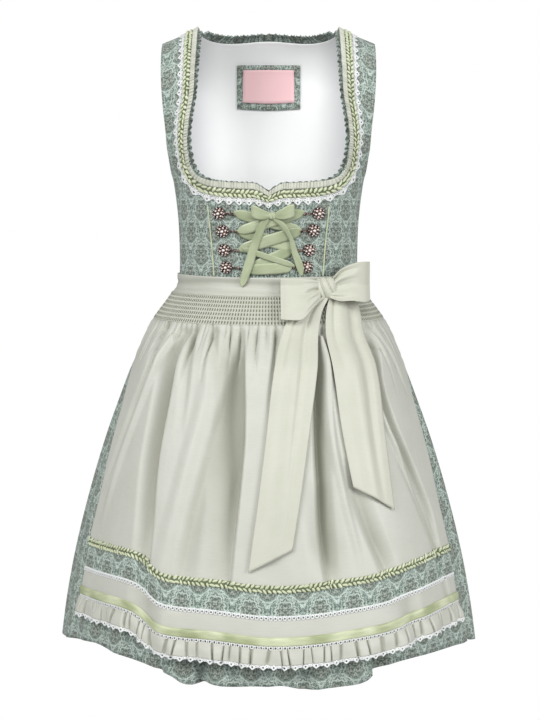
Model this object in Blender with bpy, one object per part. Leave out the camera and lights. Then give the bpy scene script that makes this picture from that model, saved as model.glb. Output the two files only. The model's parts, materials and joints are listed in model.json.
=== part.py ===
"""Dirndl dress with its own apron, as worn: thin closed cloth walls, one object for each cut piece.

Metres, +Z up. The front faces -Y and +X is the wearer's left. The origin is half way between the middles
of the two strap tops, where the shoulders carry the dress. Every piece is placed on one smooth form of
the dress by an angle round it (0 at centre front, 90 degrees at +X) and a run, the distance down the
cloth from the top of the shoulder.
"""
import bisect
import math
from collections import namedtuple

import bmesh
import bpy
from mathutils import Vector

# ---- Driving sizes -------------------------------------------------------------------------------
SEAM = 0.0003                # air left between two pieces that are sewn together
SHOULDER_ROLL = 0.080        # radius with which the straps turn over the shoulders
SHOULDER_SLOPE = math.tan(math.radians(23))
STRAP_MIDDLE = 0.118         # from the centre to the middle of a strap top
NECK_ROUND = 0.050           # rounds the shoulder line where it would peak behind the neck
SLOPE_FADE = 0.100           # the shoulder slope dies out over this drop, below the roll
SHOULDER_SEAM = -0.0168      # run of the shoulder seam, just behind the top
WAIST = 0.336                # drop of the waist seam

BODICE_CLOTH = 0.0020        # print cloth with its front facing
SKIRT_CLOTH = 0.0018
APRON_CLOTH = 0.0012
TRIM_CLOTH = 0.0010
LINING_CLOTH = 0.0010

QUARTER = SHOULDER_ROLL * math.pi / 2

# The form: half width at the sides, depth of the front and of the back, against the drop from the top.
Section = namedtuple("Section", "drop side front back")
FORM = [
    Section(0.000, 0.2000, 0.0900, 0.0950), Section(0.060, 0.1950, 0.0950, 0.1000),
    Section(0.100, 0.1820, 0.1000, 0.1030), Section(0.125, 0.1690, 0.1040, 0.1040),
    Section(0.150, 0.1525, 0.1080, 0.1040), Section(0.166, 0.1425, 0.1110, 0.1035),
    Section(0.187, 0.1318, 0.1135, 0.1025), Section(0.207, 0.1277, 0.1150, 0.1010),
    Section(0.247, 0.1232, 0.1110, 0.0980), Section(0.290, 0.1216, 0.1030, 0.0950),
    Section(0.322, 0.1218, 0.0980, 0.0940), Section(0.336, 0.1232, 0.0985, 0.0950),
    Section(0.346, 0.1280, 0.1030, 0.0995), Section(0.357, 0.1352, 0.1090, 0.1055),
    Section(0.370, 0.1450, 0.1165, 0.1130), Section(0.385, 0.1560, 0.1260, 0.1230),
    Section(0.405, 0.1685, 0.1365, 0.1340), Section(0.445, 0.1895, 0.1540, 0.1515),
    Section(0.490, 0.2072, 0.1680, 0.1660), Section(0.550, 0.2288, 0.1860, 0.1845),
    Section(0.624, 0.2511, 0.2050, 0.2040), Section(0.700, 0.2705, 0.2205, 0.2205),
    Section(0.770, 0.2842, 0.2325, 0.2325), Section(0.840, 0.2940, 0.2410, 0.2410),
]
BUST_LIFT = 0.009            # soft fullness of the cup over the princess seam
BUST_SIDE = 0.058
BUST_DROP = 0.222
BUST_RADIUS = 0.040

# Half width of the armhole's edge, from the strap top down to the underarm.
Armhole = namedtuple("Armhole", "drop side")
ARMHOLE = [Armhole(0.000, 0.1430), Armhole(0.040, 0.1425), Armhole(0.085, 0.1400), Armhole(0.125, 0.1365),
           Armhole(0.152, 0.1352), Armhole(0.166, 0.1335), Armhole(0.187, 0.1318)]
UNDERARM = 0.187

# Neck edge from centre front to the shoulder seam: the way its trims face (0 down, 90 outward) and how
# much of their width shows.
NeckPoint = namedtuple("NeckPoint", "side run turn spread")
NECK = [
    NeckPoint(0.0000, 0.2427, 0, 1.00), NeckPoint(0.0300, 0.2423, 0, 1.00),
    NeckPoint(0.0606, 0.2405, 3, 1.00), NeckPoint(0.0755, 0.2387, 10, 0.95),
    NeckPoint(0.0866, 0.2353, 25, 0.85), NeckPoint(0.0940, 0.2303, 43, 0.74),
    NeckPoint(0.0985, 0.2237, 58, 0.68), NeckPoint(0.1018, 0.2147, 72, 0.64),
    NeckPoint(0.1040, 0.2007, 84, 0.62), NeckPoint(0.1046, 0.1877, 91, 0.64),
    NeckPoint(0.1035, 0.1757, 95, 0.68), NeckPoint(0.1008, 0.1594, 96, 0.72),
    NeckPoint(0.0959, 0.1365, 95, 0.77), NeckPoint(0.0938, 0.1050, 93, 0.80),
    NeckPoint(0.0920, 0.0650, 91, 0.84), NeckPoint(0.0914, 0.0000, 90, 0.86),
    NeckPoint(0.0905, -0.0168, 90, 0.86),
]
NOTCH_DEPTH = 0.0117         # small dip of the neck edge at centre front
NOTCH_HALF = 0.020
NOTCH_FADE = 0.045           # the dip dies out over this distance from the edge
BACK_NECK_SIDE = 0.0914
BACK_NECK_RUN = 0.0665       # depth of the back neck, down the cloth
BACK_NECK_POWER = 2.4        # roundness of the back neck's curve

# Trims round the neck: distances from the frill's free edge.
FRILL_END = 0.0034
RIBBON_END = 0.0105
BRAID_END = 0.0225
LACE_END = 0.0310
TRIM_GAP = 0.0008            # trims clear the panel they are sewn on by this much
NECK_COLUMNS = 42
BACK_FRILL = 0.0075          # height of the frill at the back neck
BRAID_HEIGHT = 0.0014
FRILL_WAVES = 38
BACK_FRILL_WAVES = 14
FRILL_SWING = 0.0014
FRILL_GAP = 0.0021
FRILL_ROOT = 0.0064          # the frill is sewn in behind the panel's edge, as far as this

# Princess seam, from the neck edge to the waist.
Princess = namedtuple("Princess", "drop side")
PRINCESS = [Princess(0.190, 0.0812), Princess(0.225, 0.0796), Princess(0.280, 0.0748),
            Princess(0.322, 0.0720), Princess(0.336, 0.0716)]
PIPING_WIDTH = 0.0022
PIPING_TOP = 0.2300          # the piping comes out from under the lace here
PIPING_FOOT = 0.3198         # and ends just above the apron's band
PIPING_GAP = 0.0010
SIDE_TOP_SHARE = 0.72        # share of the side front's rows above the corner of the neck
SIDE_TOP_END = 0.2480        # run of the side seam level with that corner
BACK_NECK_SHARE = 0.60       # share of the back's columns that end at the neck

LINING_GAP = 0.0020
LINING_DRAWN_IN = 0.0075     # the lining's neck and armhole edges stop short of the back's
LABEL_GAP = 0.0014
LABEL_DROP = 0.0885          # middle of the label and of its patch
PATCH_WIDTH = 0.0890
PATCH_HEIGHT = 0.0640
LABEL_WIDTH = 0.0720
LABEL_HEIGHT = 0.0470

# Skirt.
SKIRT_FOLDS = 24
FOLD_DEPTH_WAIST = 0.0020
FOLD_DEPTH_HEM = 0.0110
FOLD_GROWS_OVER = 0.200
HemPoint = namedtuple("HemPoint", "angle drop")
HEMLINE = [HemPoint(-180, 0.826), HemPoint(-90, 0.823), HemPoint(-66, 0.811), HemPoint(-40, 0.812),
           HemPoint(-28, 0.822), HemPoint(-20, 0.831), HemPoint(0, 0.831), HemPoint(9, 0.834),
           HemPoint(20, 0.831), HemPoint(28, 0.820), HemPoint(45, 0.813), HemPoint(66, 0.813),
           HemPoint(90, 0.823), HemPoint(180, 0.826)]

# Apron, at its centre line.
BAND_TOP = 0.3220
BAND_END = 0.3485
SMOCK_END = 0.3850
BRAID_TOP = 0.7005
BRAID_FOOT = 0.7115
PRINT_END = 0.7435
UPPER_LACE_TOP = 0.7410
UPPER_LACE_FOOT = 0.7470
RIBBON_TOP = 0.7660
RIBBON_FOOT = 0.7770
LOWER_LACE_FOOT = 0.7822
RUFFLE_TOP = 0.7790
RUFFLE_GAP = 0.0012          # the ruffle's gathered top stops this short of the band above
RUFFLE_FOOT = 0.8000
PICOT_FOOT = 0.8056
BAND_DIP_AT_SIDE = -0.0020   # the band's edges sit this much higher at the sides
APRON_GAP = 0.0012           # air between the skirt's ridges and the apron
APRON_FULL = 0.0085          # how far the gathered panel swells off the skirt
APRON_FULL_OVER = 0.110
SMOCK_RIBS = 38
SMOCK_HEIGHT = 0.0014
RUFFLE_WAVES = 34
RUFFLE_SWING = 0.0055
APRON_COLUMNS = 38
BAND_HALF_ANGLE = 94.0       # the tie goes on round the back from here

# Half angle of the apron's side edges.
ApronEdge = namedtuple("ApronEdge", "drop angle")
APRON_EDGE = [ApronEdge(0.385, 93.0), ApronEdge(0.420, 84.0), ApronEdge(0.450, 76.0), ApronEdge(0.490, 70.0),
              ApronEdge(0.540, 67.3), ApronEdge(0.593, 65.7), ApronEdge(0.645, 64.2), ApronEdge(0.700, 64.0),
              ApronEdge(0.770, 65.4), ApronEdge(0.820, 66.5)]

# How much higher than at the centre the apron's lower lines run, round the skirt.
ApronRise = namedtuple("ApronRise", "angle rise")
APRON_RISE = [ApronRise(-70, 0.040), ApronRise(-50, 0.038), ApronRise(-42, 0.035), ApronRise(-35, 0.019),
              ApronRise(-29, 0.009), ApronRise(-14, 0.007), ApronRise(0, 0.000), ApronRise(10, 0.001),
              ApronRise(20, 0.005), ApronRise(30, 0.009), ApronRise(40, 0.017), ApronRise(53, 0.024),
              ApronRise(70, 0.027)]
RISE_STARTS = 0.430

# Valleys between the apron's folds: where each starts and dies out, its half width and share of the
# fullness that it takes away.
Valley = namedtuple("Valley", "top_angle top_drop foot_angle foot_drop half_width depth")
APRON_VALLEYS = [
    Valley(-74, 0.385, -60, 0.560, 5.0, 0.7), Valley(-58, 0.385, -49, 0.640, 4.5, 1.0),
    Valley(-37, 0.385, -36, 0.720, 5.5, 1.0), Valley(-26, 0.385, -22, 0.470, 3.0, 0.7),
    Valley(-18, 0.385, -14, 0.660, 4.5, 1.0), Valley(-6, 0.385, -5, 0.460, 2.6, 0.6),
    Valley(4, 0.385, 1, 0.560, 3.2, 0.9), Valley(19, 0.385, 16, 0.690, 3.6, 1.0),
    Valley(26, 0.385, 27, 0.560, 3.2, 0.8), Valley(38, 0.385, 36, 0.610, 4.0, 0.8),
    Valley(54, 0.385, 50, 0.640, 4.5, 1.0), Valley(70, 0.385, 59, 0.560, 4.5, 0.7),
]

# Bow of the apron's ties: it stands on a slanted plane in front of the waistband.
KNOT = Vector((0.0865, -0.0905, -0.3325))
KNOT_SIZE = Vector((0.0200, 0.0220, 0.0400))
BOW_PLANE = -0.0895          # depth of the plane at the knot
BOW_TURN = 0.317             # the plane recedes towards +X by this much a metre
BOW_LEAN = 0.60              # and leans out below the knot, over the flaring skirt
BOW_BACK = 0.35              # share of a loop's swell that its back layer takes
LoopSection = namedtuple("LoopSection", "side top foot swell")
LEFT_LOOP = [LoopSection(0.0768, -0.3265, -0.3490, 0.0040), LoopSection(0.064, -0.3230, -0.3560, 0.0090),
             LoopSection(0.045, -0.3225, -0.3680, 0.0120), LoopSection(0.026, -0.3225, -0.3740, 0.0085),
             LoopSection(0.016, -0.3225, -0.3745, 0.0012)]
RIGHT_LOOP = [LoopSection(0.0964, -0.3240, -0.3470, 0.0040), LoopSection(0.106, -0.3110, -0.3510, 0.0095),
              LoopSection(0.118, -0.3040, -0.3540, 0.0120), LoopSection(0.129, -0.3015, -0.3540, 0.0080),
              LoopSection(0.134, -0.3015, -0.3500, 0.0012)]
TailSection = namedtuple("TailSection", "drop left right")
LEFT_TAIL = [TailSection(0.3550, 0.072, 0.086), TailSection(0.370, 0.036, 0.074),
             TailSection(0.393, 0.018, 0.067), TailSection(0.448, 0.006, 0.058),
             TailSection(0.527, -0.003, 0.048), TailSection(0.600, -0.012, 0.038),
             TailSection(0.683, -0.024, 0.024)]
RIGHT_TAIL = [TailSection(0.3535, 0.088, 0.102), TailSection(0.370, 0.079, 0.117),
              TailSection(0.405, 0.074, 0.125), TailSection(0.460, 0.083, 0.138),
              TailSection(0.520, 0.093, 0.146), TailSection(0.616, 0.112, 0.158)]
LEFT_TAIL_CUT = (0.683, 0.657)    # drops of the slanted end, at its left and right corners
RIGHT_TAIL_CUT = (0.585, 0.616)
TAIL_CLEAR = 0.0009
TAIL_FOLD = 0.0025

# Hooks and lacing on the centre fronts.
Hook = namedtuple("Hook", "side drop")
HOOKS = [Hook(-0.0642, 0.2380), Hook(-0.0595, 0.2610), Hook(-0.0580, 0.2860), Hook(-0.0556, 0.3090),
         Hook(0.0650, 0.2380), Hook(0.0590, 0.2600), Hook(0.0530, 0.2860), Hook(0.0495, 0.3080)]
HOOK_RADIUS = 0.0084
HOOK_PETALS = 6
HOOK_SCALLOP = 0.14          # share of the radius by which the petals stand out and fall back
HOOK_CROWN = 0.55            # radius of the dome's top, as a share of its foot
HOOK_HEIGHT = 0.0040
HOOK_ARM = 1.72              # the arm reaches this many radii towards the lacing
LACING_WIDTH = 0.0130
LACING_LIFT = 0.0006
LACING_LAYER = 0.0017        # one layer of ribbon with its air
Strand = namedtuple("Strand", "name start_side start_drop end_side end_drop width layer")
STRANDS = [
    Strand("lacing_1", -0.0440, 0.2380, 0.0430, 0.2600, LACING_WIDTH, 0),
    Strand("lacing_2", 0.0460, 0.2360, -0.0390, 0.2620, LACING_WIDTH, 1),
    Strand("lacing_3", -0.0390, 0.2620, 0.0300, 0.2820, LACING_WIDTH, 0),
    Strand("lacing_4", 0.0430, 0.2600, -0.0375, 0.2830, LACING_WIDTH, 1),
    Strand("lacing_5", -0.0375, 0.2830, 0.0310, 0.3070, LACING_WIDTH, 0),
    Strand("lacing_6", 0.0300, 0.2820, -0.0245, 0.3100, LACING_WIDTH, 1),
    Strand("lacing_end_left", -0.0060, 0.2480, -0.0330, 0.3345, 0.0105, 2),
    Strand("lacing_end_right", 0.0150, 0.2480, 0.0395, 0.3170, 0.0075, 2),
]
STRAND_NARROWS = 0.45        # a strand's width at its ends, as a share of its middle
LACING_LEFT_LOOP = [
    LoopSection(0.0005, -0.2375, -0.2440, 0.0016), LoopSection(-0.010, -0.2325, -0.2465, 0.0042),
    LoopSection(-0.0190, -0.2300, -0.2460, 0.0030), LoopSection(-0.0235, -0.2295, -0.2450, 0.0010)]
LACING_RIGHT_LOOP = [
    LoopSection(0.0090, -0.2375, -0.2440, 0.0016), LoopSection(0.019, -0.2310, -0.2455, 0.0042),
    LoopSection(0.028, -0.2290, -0.2445, 0.0030), LoopSection(0.0320, -0.2290, -0.2430, 0.0010)]
LACING_KNOT = Hook(0.0047, 0.2408)
LACING_KNOT_SIZE = Vector((0.0080, 0.0050, 0.0085))
LACING_BOW_LIFT = 0.0056     # the bow lies over two layers of ribbon


# ---- Smooth tables -------------------------------------------------------------------------------
def smooth(rows, key, column):
    """Return a smooth function of the column `key` that passes through `column` of every row."""
    keys = [getattr(row, key) for row in rows]
    values = [getattr(row, column) for row in rows]
    last = len(rows) - 1
    slopes = []
    for i in range(last + 1):
        before, after = max(i - 1, 0), min(i + 1, last)
        slopes.append((values[after] - values[before]) / (keys[after] - keys[before]))

    def value(at):
        at = min(max(at, keys[0]), keys[-1])
        i = min(bisect.bisect_right(keys, at), last) - 1
        step = keys[i + 1] - keys[i]
        t = (at - keys[i]) / step
        return (values[i] * (1 - t) ** 2 * (1 + 2 * t) + slopes[i] * step * t * (1 - t) ** 2
                + values[i + 1] * t * t * (3 - 2 * t) - slopes[i + 1] * step * t * t * (1 - t))

    return value


def ease(t):
    """Smooth step from 0 to 1."""
    t = min(max(t, 0.0), 1.0)
    return t * t * (3 - 2 * t)


def mix(start, end, t):
    return start + (end - start) * t


side_half = smooth(FORM, "drop", "side")
front_depth = smooth(FORM, "drop", "front")
back_depth = smooth(FORM, "drop", "back")
armhole_side = smooth(ARMHOLE, "drop", "side")
princess_side = smooth(PRINCESS, "drop", "side")
hem_drop = smooth(HEMLINE, "angle", "drop")
apron_edge = smooth(APRON_EDGE, "drop", "angle")
apron_rise = smooth(APRON_RISE, "angle", "rise")


# ---- The form of the dress -----------------------------------------------------------------------
def drop_of(run):
    """Drop below the shoulder line after this run down the cloth."""
    run = abs(run)
    if run < QUARTER:
        return SHOULDER_ROLL * (1 - math.cos(run / SHOULDER_ROLL))
    return SHOULDER_ROLL + run - QUARTER


def run_of(drop):
    if drop < SHOULDER_ROLL:
        return SHOULDER_ROLL * math.acos(1 - drop / SHOULDER_ROLL)
    return QUARTER + drop - SHOULDER_ROLL


def shoulder_line(x):
    rise = math.hypot(STRAP_MIDDLE, NECK_ROUND) - math.hypot(x, NECK_ROUND)
    return SHOULDER_SLOPE * rise


def form(angle, run):
    """Point of the dress's form. A negative run lies behind the top of the shoulder."""
    if run < 0:
        angle, run = math.pi - angle, -run
    drop = drop_of(run)
    x = side_half(drop) * math.sin(angle)
    z = shoulder_line(x) * (1 - ease((drop - SHOULDER_ROLL) / SLOPE_FADE)) - drop
    roll = math.sin(min(run / SHOULDER_ROLL, math.pi / 2))
    forward = math.cos(angle)
    if forward < 0:
        return Vector((x, -back_depth(drop) * forward * roll, z))
    off_cup = ((abs(x) - BUST_SIDE) ** 2 + (drop - BUST_DROP) ** 2) / BUST_RADIUS ** 2
    cup = BUST_LIFT * math.exp(-off_cup) * min(forward * 4, 1)
    return Vector((x, -front_depth(drop) * forward * roll - cup, z))


def outward(surface, angle, run):
    """Unit normal of a surface, pointing away from the wearer."""
    turn, step = 0.002, 0.0005
    across = surface(angle + turn, run) - surface(angle - turn, run)
    down = surface(angle, run + step) - surface(angle, run - step)
    return down.cross(across).normalized()


def off(surface, angle, run, distance):
    return surface(angle, run) + outward(surface, angle, run) * distance


def angle_at(x, run):
    """Angle at which the form reaches the side distance x."""
    return math.asin(min(max(x / side_half(drop_of(run)), -1.0), 1.0))


def seam_angle(drop):
    """Half the seam's gap, as an angle round the form."""
    return SEAM / 2 / side_half(drop)


# ---- Building walls ------------------------------------------------------------------------------
def material(name, colour, roughness, metallic=0.0):
    made = bpy.data.materials.new(name)
    made.use_nodes = True
    shader = made.node_tree.nodes["Principled BSDF"]
    shader.inputs["Base Color"].default_value = (*colour, 1.0)
    shader.inputs["Roughness"].default_value = roughness
    shader.inputs["Metallic"].default_value = metallic
    made.diffuse_color = (*colour, 1.0)
    return made


def finish(name, bm, finish_material):
    bmesh.ops.recalc_face_normals(bm, faces=bm.faces[:])
    if bm.calc_volume(signed=True) < 0:
        bmesh.ops.reverse_faces(bm, faces=bm.faces[:])
    mesh = bpy.data.meshes.new(name)
    bm.to_mesh(mesh)
    bm.free()
    mesh.shade_smooth()
    mesh.materials.append(finish_material)
    made = bpy.data.objects.new(name, mesh)
    bpy.context.scene.collection.objects.link(made)
    return made


def wall(name, cloth, columns, rows, outer, inner):
    """Closed wall of a grid of columns by rows: outer(u, v) and inner(u, v) give its two faces."""
    bm = bmesh.new()
    bmesh.ops.create_grid(bm, x_segments=columns, y_segments=rows, size=0.5)
    copy = bmesh.ops.extrude_face_region(bm, geom=bm.faces[:], use_keep_orig=True)
    inside = {vert for vert in copy["geom"] if isinstance(vert, bmesh.types.BMVert)}
    for vert in bm.verts:
        u, v = vert.co.x + 0.5, 0.5 - vert.co.y
        vert.co = inner(u, v) if vert in inside else outer(u, v)
    return finish(name, bm, cloth)


def sheet(name, cloth, columns, rows, surface, spot, lift, thick, raised=None):
    """Wall on a surface: spot(u, v) gives angle and run, lift is the distance of its inner face."""
    def inner(u, v):
        return off(surface, *spot(u, v), lift)

    def outer(u, v):
        extra = raised(u, v) if raised else 0.0
        return off(surface, *spot(u, v), lift + thick + extra)

    return wall(name, cloth, columns, rows, outer, inner)


# ---- Neck edge -----------------------------------------------------------------------------------
NeckRow = namedtuple("NeckRow", "along side run turn spread")


def neck_rows():
    """The neck table with the distance along the edge from centre front."""
    rows, along = [], 0.0
    for i, point in enumerate(NECK):
        if i:
            before = NECK[i - 1]
            along += math.hypot(point.side - before.side, point.run - before.run)
        rows.append(NeckRow(along, *point))
    return rows


NECK_ROWS = neck_rows()
NECK_HALF = NECK_ROWS[-1].along
neck_side = smooth(NECK_ROWS, "along", "side")
neck_run = smooth(NECK_ROWS, "along", "run")
neck_turn = smooth(NECK_ROWS, "along", "turn")
neck_spread = smooth(NECK_ROWS, "along", "spread")


def neck_point(along, distance):
    """Side distance and run of the point this far along the neck and out from the frill's edge."""
    at = abs(along)
    turn = math.radians(neck_turn(at))
    out = distance * neck_spread(at)
    side = neck_side(at) + out * math.sin(turn)
    run = neck_run(at) + out * math.cos(turn)
    notch = NOTCH_DEPTH * (1 - distance / NOTCH_FADE)
    run += notch * max(0.0, 1 - neck_side(at) / NOTCH_HALF) ** 1.4
    return math.copysign(side, along), run


def neck_spot(along, distance):
    side, run = neck_point(along, distance)
    return angle_at(side, run), run


def princess_start():
    """Distance along the neck where the princess seam meets it."""
    low, high = 0.05, 0.12
    for _ in range(40):
        middle = (low + high) / 2
        side, run = neck_point(middle, FRILL_END + SEAM)
        if side < princess_side(drop_of(run)):
            low = middle
        else:
            high = middle
    return low


PRINCESS_START = princess_start()


# ---- Bodice --------------------------------------------------------------------------------------
def bodice_front(name, cloth, hand):
    """Centre front between the middle and the princess seam; hand is -1 for -X and 1 for +X."""
    def spot(u, v):
        side, top = neck_point(PRINCESS_START * u, FRILL_END + SEAM)
        share = side / princess_side(drop_of(top))
        run = mix(top, run_of(WAIST) - SEAM / 2, v)
        drop = drop_of(run)
        x = mix(SEAM / 2, princess_side(drop) - SEAM / 2, share)
        return hand * angle_at(x, run), run

    return sheet(name, cloth, 5, 8, form, spot, -BODICE_CLOTH, BODICE_CLOTH)


def side_edge(run):
    """Angle of the armhole's edge, and of the side seam below the underarm."""
    drop = drop_of(run)
    if drop < UNDERARM:
        return math.asin(min(armhole_side(drop) / side_half(drop), 1.0))
    return math.pi / 2 - seam_angle(drop)


def bodice_side(name, cloth, hand):
    """Side front with its strap, from the shoulder seam to the waist."""
    seam = SHOULDER_SEAM + SEAM / 2
    waist = run_of(WAIST) - SEAM / 2
    corner_side, corner_run = neck_point(PRINCESS_START, FRILL_END + SEAM)

    def spot(u, v):
        if v < SIDE_TOP_SHARE:
            t = 1 - (1 - v / SIDE_TOP_SHARE) ** 1.5
            side, inner_run = neck_point(mix(NECK_HALF, PRINCESS_START, t), FRILL_END + SEAM)
            inner_run = max(inner_run, seam)
            outer_run = mix(seam, SIDE_TOP_END, t)
        else:
            t = (v - SIDE_TOP_SHARE) / (1 - SIDE_TOP_SHARE)
            inner_run = mix(corner_run, waist, t)
            side = princess_side(drop_of(inner_run))
            outer_run = mix(SIDE_TOP_END, waist, t)
        if inner_run >= corner_run:
            side += SEAM / 2
        run = mix(inner_run, outer_run, u)
        angle = mix(angle_at(side, inner_run), side_edge(outer_run), u)
        return hand * angle, run

    return sheet(name, cloth, 4, 18, form, spot, -BODICE_CLOTH, BODICE_CLOTH)


def back_neck_point(share, clear):
    """Point of the back neck edge, share 0 at the shoulder seam and 1 at centre back."""
    start = math.asin((-SHOULDER_SEAM / BACK_NECK_RUN) ** (BACK_NECK_POWER / 2))
    t = mix(start, math.pi / 2, share)
    side = (BACK_NECK_SIDE + clear) * math.cos(t) ** (2 / BACK_NECK_POWER)
    run = (BACK_NECK_RUN + clear) * math.sin(t) ** (2 / BACK_NECK_POWER)
    return side, -run


def back_spot(clear):
    """Grid over the back from the -X armhole to the +X one, its neck and sides drawn in by `clear`."""
    foot = -run_of(WAIST) + SEAM / 2

    def spot(u, v):
        across = abs(2 * u - 1)
        if across > BACK_NECK_SHARE:
            t = (across - BACK_NECK_SHARE) / (1 - BACK_NECK_SHARE)
            strap_edge = armhole_side(0) - clear
            top_side = mix(back_neck_point(0, FRILL_END + clear)[0], strap_edge, t)
            top_run = SHOULDER_SEAM - SEAM / 2
        else:
            top_side, top_run = back_neck_point(1 - across / BACK_NECK_SHARE, FRILL_END + clear)
            top_run = min(top_run, SHOULDER_SEAM - SEAM / 2)
        run = mix(top_run, foot, v ** 1.25)
        top_share = angle_at(top_side, top_run) / side_edge(top_run)
        share = mix(top_share, across, ease(1.4 * v))
        edge = side_edge(run) - clear / side_half(drop_of(run))
        return math.copysign(edge * share, u - 0.5), run

    return spot


def label_spot(width, height):
    """Upright rectangle on the inside of the back, level although the shoulders slope."""
    def spot(u, v):
        x = width * (u - 0.5)
        drop = LABEL_DROP + height * (v - 0.5)
        slope = 1 - ease((drop - SHOULDER_ROLL) / SLOPE_FADE)
        drop += (shoulder_line(x) - shoulder_line(0.0)) * slope
        run = -run_of(drop)
        return angle_at(x, run), run

    return spot


def braid_height(_, v):
    """Rounded back of the gathered braid."""
    return BRAID_HEIGHT * math.sin(math.pi * v)


def neck_trim(name, cloth, start, end, columns, rows, raised=None):
    """Band of trim round the front neck, between two distances from the frill's edge."""
    reach = NECK_HALF - SEAM

    def spot(u, v):
        return neck_spot(mix(-reach, reach, u), mix(start, end, v))

    return sheet(name, cloth, columns, rows, form, spot, TRIM_GAP, TRIM_CLOTH, raised)


def neck_frill(name, cloth):
    """Waved frill of the print, from the panel's neck edge to its free edge."""
    reach = NECK_HALF - SEAM
    columns = 2 * FRILL_WAVES

    def face(level):
        def point(u, v):
            angle, run = neck_spot(mix(-reach, reach, u), FRILL_ROOT * v)
            wave = FRILL_SWING * math.cos(math.pi * columns * u) * (1 - v)
            return off(form, angle, run, level + wave)
        return point

    behind = -BODICE_CLOTH - FRILL_GAP
    return wall(name, cloth, columns, 1, face(behind), face(behind - TRIM_CLOTH))


def back_frill(name, cloth):
    """Frill that stands up from the back neck edge, low at the shoulders and tall at the centre."""
    columns = 2 * BACK_FRILL_WAVES

    def face(level):
        def point(u, v):
            share = 1 - abs(2 * u - 1)
            tall = BACK_FRILL * ease(2 * share)
            side, run = back_neck_point(share, mix(-tall, FRILL_ROOT, v))
            run = min(run, SHOULDER_SEAM - SEAM)
            wave = FRILL_SWING * math.cos(math.pi * columns * u) * (1 - v)
            return off(form, angle_at(math.copysign(side, u - 0.5), run), run, level + wave)
        return point

    behind = -BODICE_CLOTH - FRILL_GAP
    return wall(name, cloth, columns, 1, face(behind), face(behind - TRIM_CLOTH))


def piping(name, cloth, hand):
    """Thin sage cord that lies in the princess seam, from the lace down to the apron's band."""
    top, foot = run_of(PIPING_TOP), run_of(PIPING_FOOT)

    def spot(u, v):
        run = mix(top, foot, v)
        side = princess_side(drop_of(run)) + PIPING_WIDTH * (u - 0.5)
        return hand * angle_at(side, run), run

    def raised(u, _):
        return PIPING_WIDTH / 2 * (1 - abs(2 * u - 1))

    return sheet(name, cloth, 2, 7, form, spot, PIPING_GAP, PIPING_WIDTH / 4, raised)


# ---- Skirt ---------------------------------------------------------------------------------------
def skirt(angle, run):
    """Outer face of the skirt: the form with the valleys between its gathered folds."""
    drop = drop_of(run)
    grown = ease((drop - WAIST) / FOLD_GROWS_OVER)
    depth = mix(FOLD_DEPTH_WAIST, FOLD_DEPTH_HEM, grown)
    sway = 0.30 * math.sin(3 * angle + 0.7) + 0.22 * math.sin(5 * angle - 1.1)
    valley = 0.5 - 0.5 * math.cos(SKIRT_FOLDS * angle + 2 * math.pi * sway)
    strength = 0.72 + 0.28 * math.sin(4 * angle + 2.0)
    return off(form, angle, run, -depth * strength * valley)


def skirt_half(name, cloth, centre):
    """Front or back of the skirt, side seam to side seam, round the angle `centre`."""
    def spot(u, v):
        angle = centre + mix(-math.pi / 2, math.pi / 2, u)
        foot = hem_drop((math.degrees(angle) + 180) % 360 - 180)
        drop = mix(WAIST + SEAM / 2, foot, v ** 1.7)
        shift = seam_angle(drop)
        if u in (0.0, 1.0):
            angle += shift if u == 0.0 else -shift
        return angle, run_of(drop)

    return sheet(name, cloth, 3 * SKIRT_FOLDS // 2, 9, skirt, spot, -SKIRT_CLOTH, SKIRT_CLOTH)


# ---- Apron ---------------------------------------------------------------------------------------
def valley_share(angle, drop):
    """Share of the apron's fullness that its valleys leave at this place."""
    left = 1.0
    degrees = math.degrees(angle)
    for valley in APRON_VALLEYS:
        along = (drop - valley.top_drop) / (valley.foot_drop - valley.top_drop)
        if 0.0 <= along < 1.0:
            middle = mix(valley.top_angle, valley.foot_angle, along)
            away = abs(degrees - middle) / valley.half_width
            if away < 1.0:
                left *= 1 - valley.depth * (1 - along ** 3) * (1 - ease(away))
    return left


def apron(angle, run):
    """Face that the apron's cloth lies on: it swells off the skirt between its valleys."""
    drop = drop_of(run)
    full = APRON_FULL * ease((drop - SMOCK_END) / APRON_FULL_OVER)
    to_edge = apron_edge(max(drop, SMOCK_END)) - abs(math.degrees(angle))
    full *= ease(to_edge / 12.0)
    return off(form, angle, run, APRON_GAP + full * valley_share(angle, drop))


def apron_spot(start, end, half_angle=None):
    """Strip of the apron between two drops at the centre line, out to the apron's side edges."""
    def spot(u, v):
        across = 2 * u - 1
        level = mix(start, end, v)
        angle = math.radians((half_angle or apron_edge(level)) * across)
        lifted = apron_rise(math.degrees(angle)) * ease((level - RISE_STARTS) / (BRAID_TOP - RISE_STARTS))
        return angle, run_of(level - lifted)

    return spot


def apron_strip(name, cloth, start, end, rows, layer=0, raised=None):
    """One cut piece of the apron; layer counts the pieces of cloth that it lies on."""
    lift = layer * (APRON_CLOTH + TRIM_GAP)
    thick = APRON_CLOTH if layer == 0 else TRIM_CLOTH
    spot = apron_spot(start + SEAM / 2, end - SEAM / 2)
    return sheet(name, cloth, APRON_COLUMNS, rows, apron, spot, lift, thick, raised)


def band_spot(start, end, from_angle, to_angle):
    """Strip of the waistband's level; its edges sit a little higher at the sides."""
    def spot(u, v):
        angle = math.radians(mix(from_angle, to_angle, u))
        drop = mix(start, end, v) + BAND_DIP_AT_SIDE * math.sin(angle) ** 2
        return angle, run_of(drop)

    return spot


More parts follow.
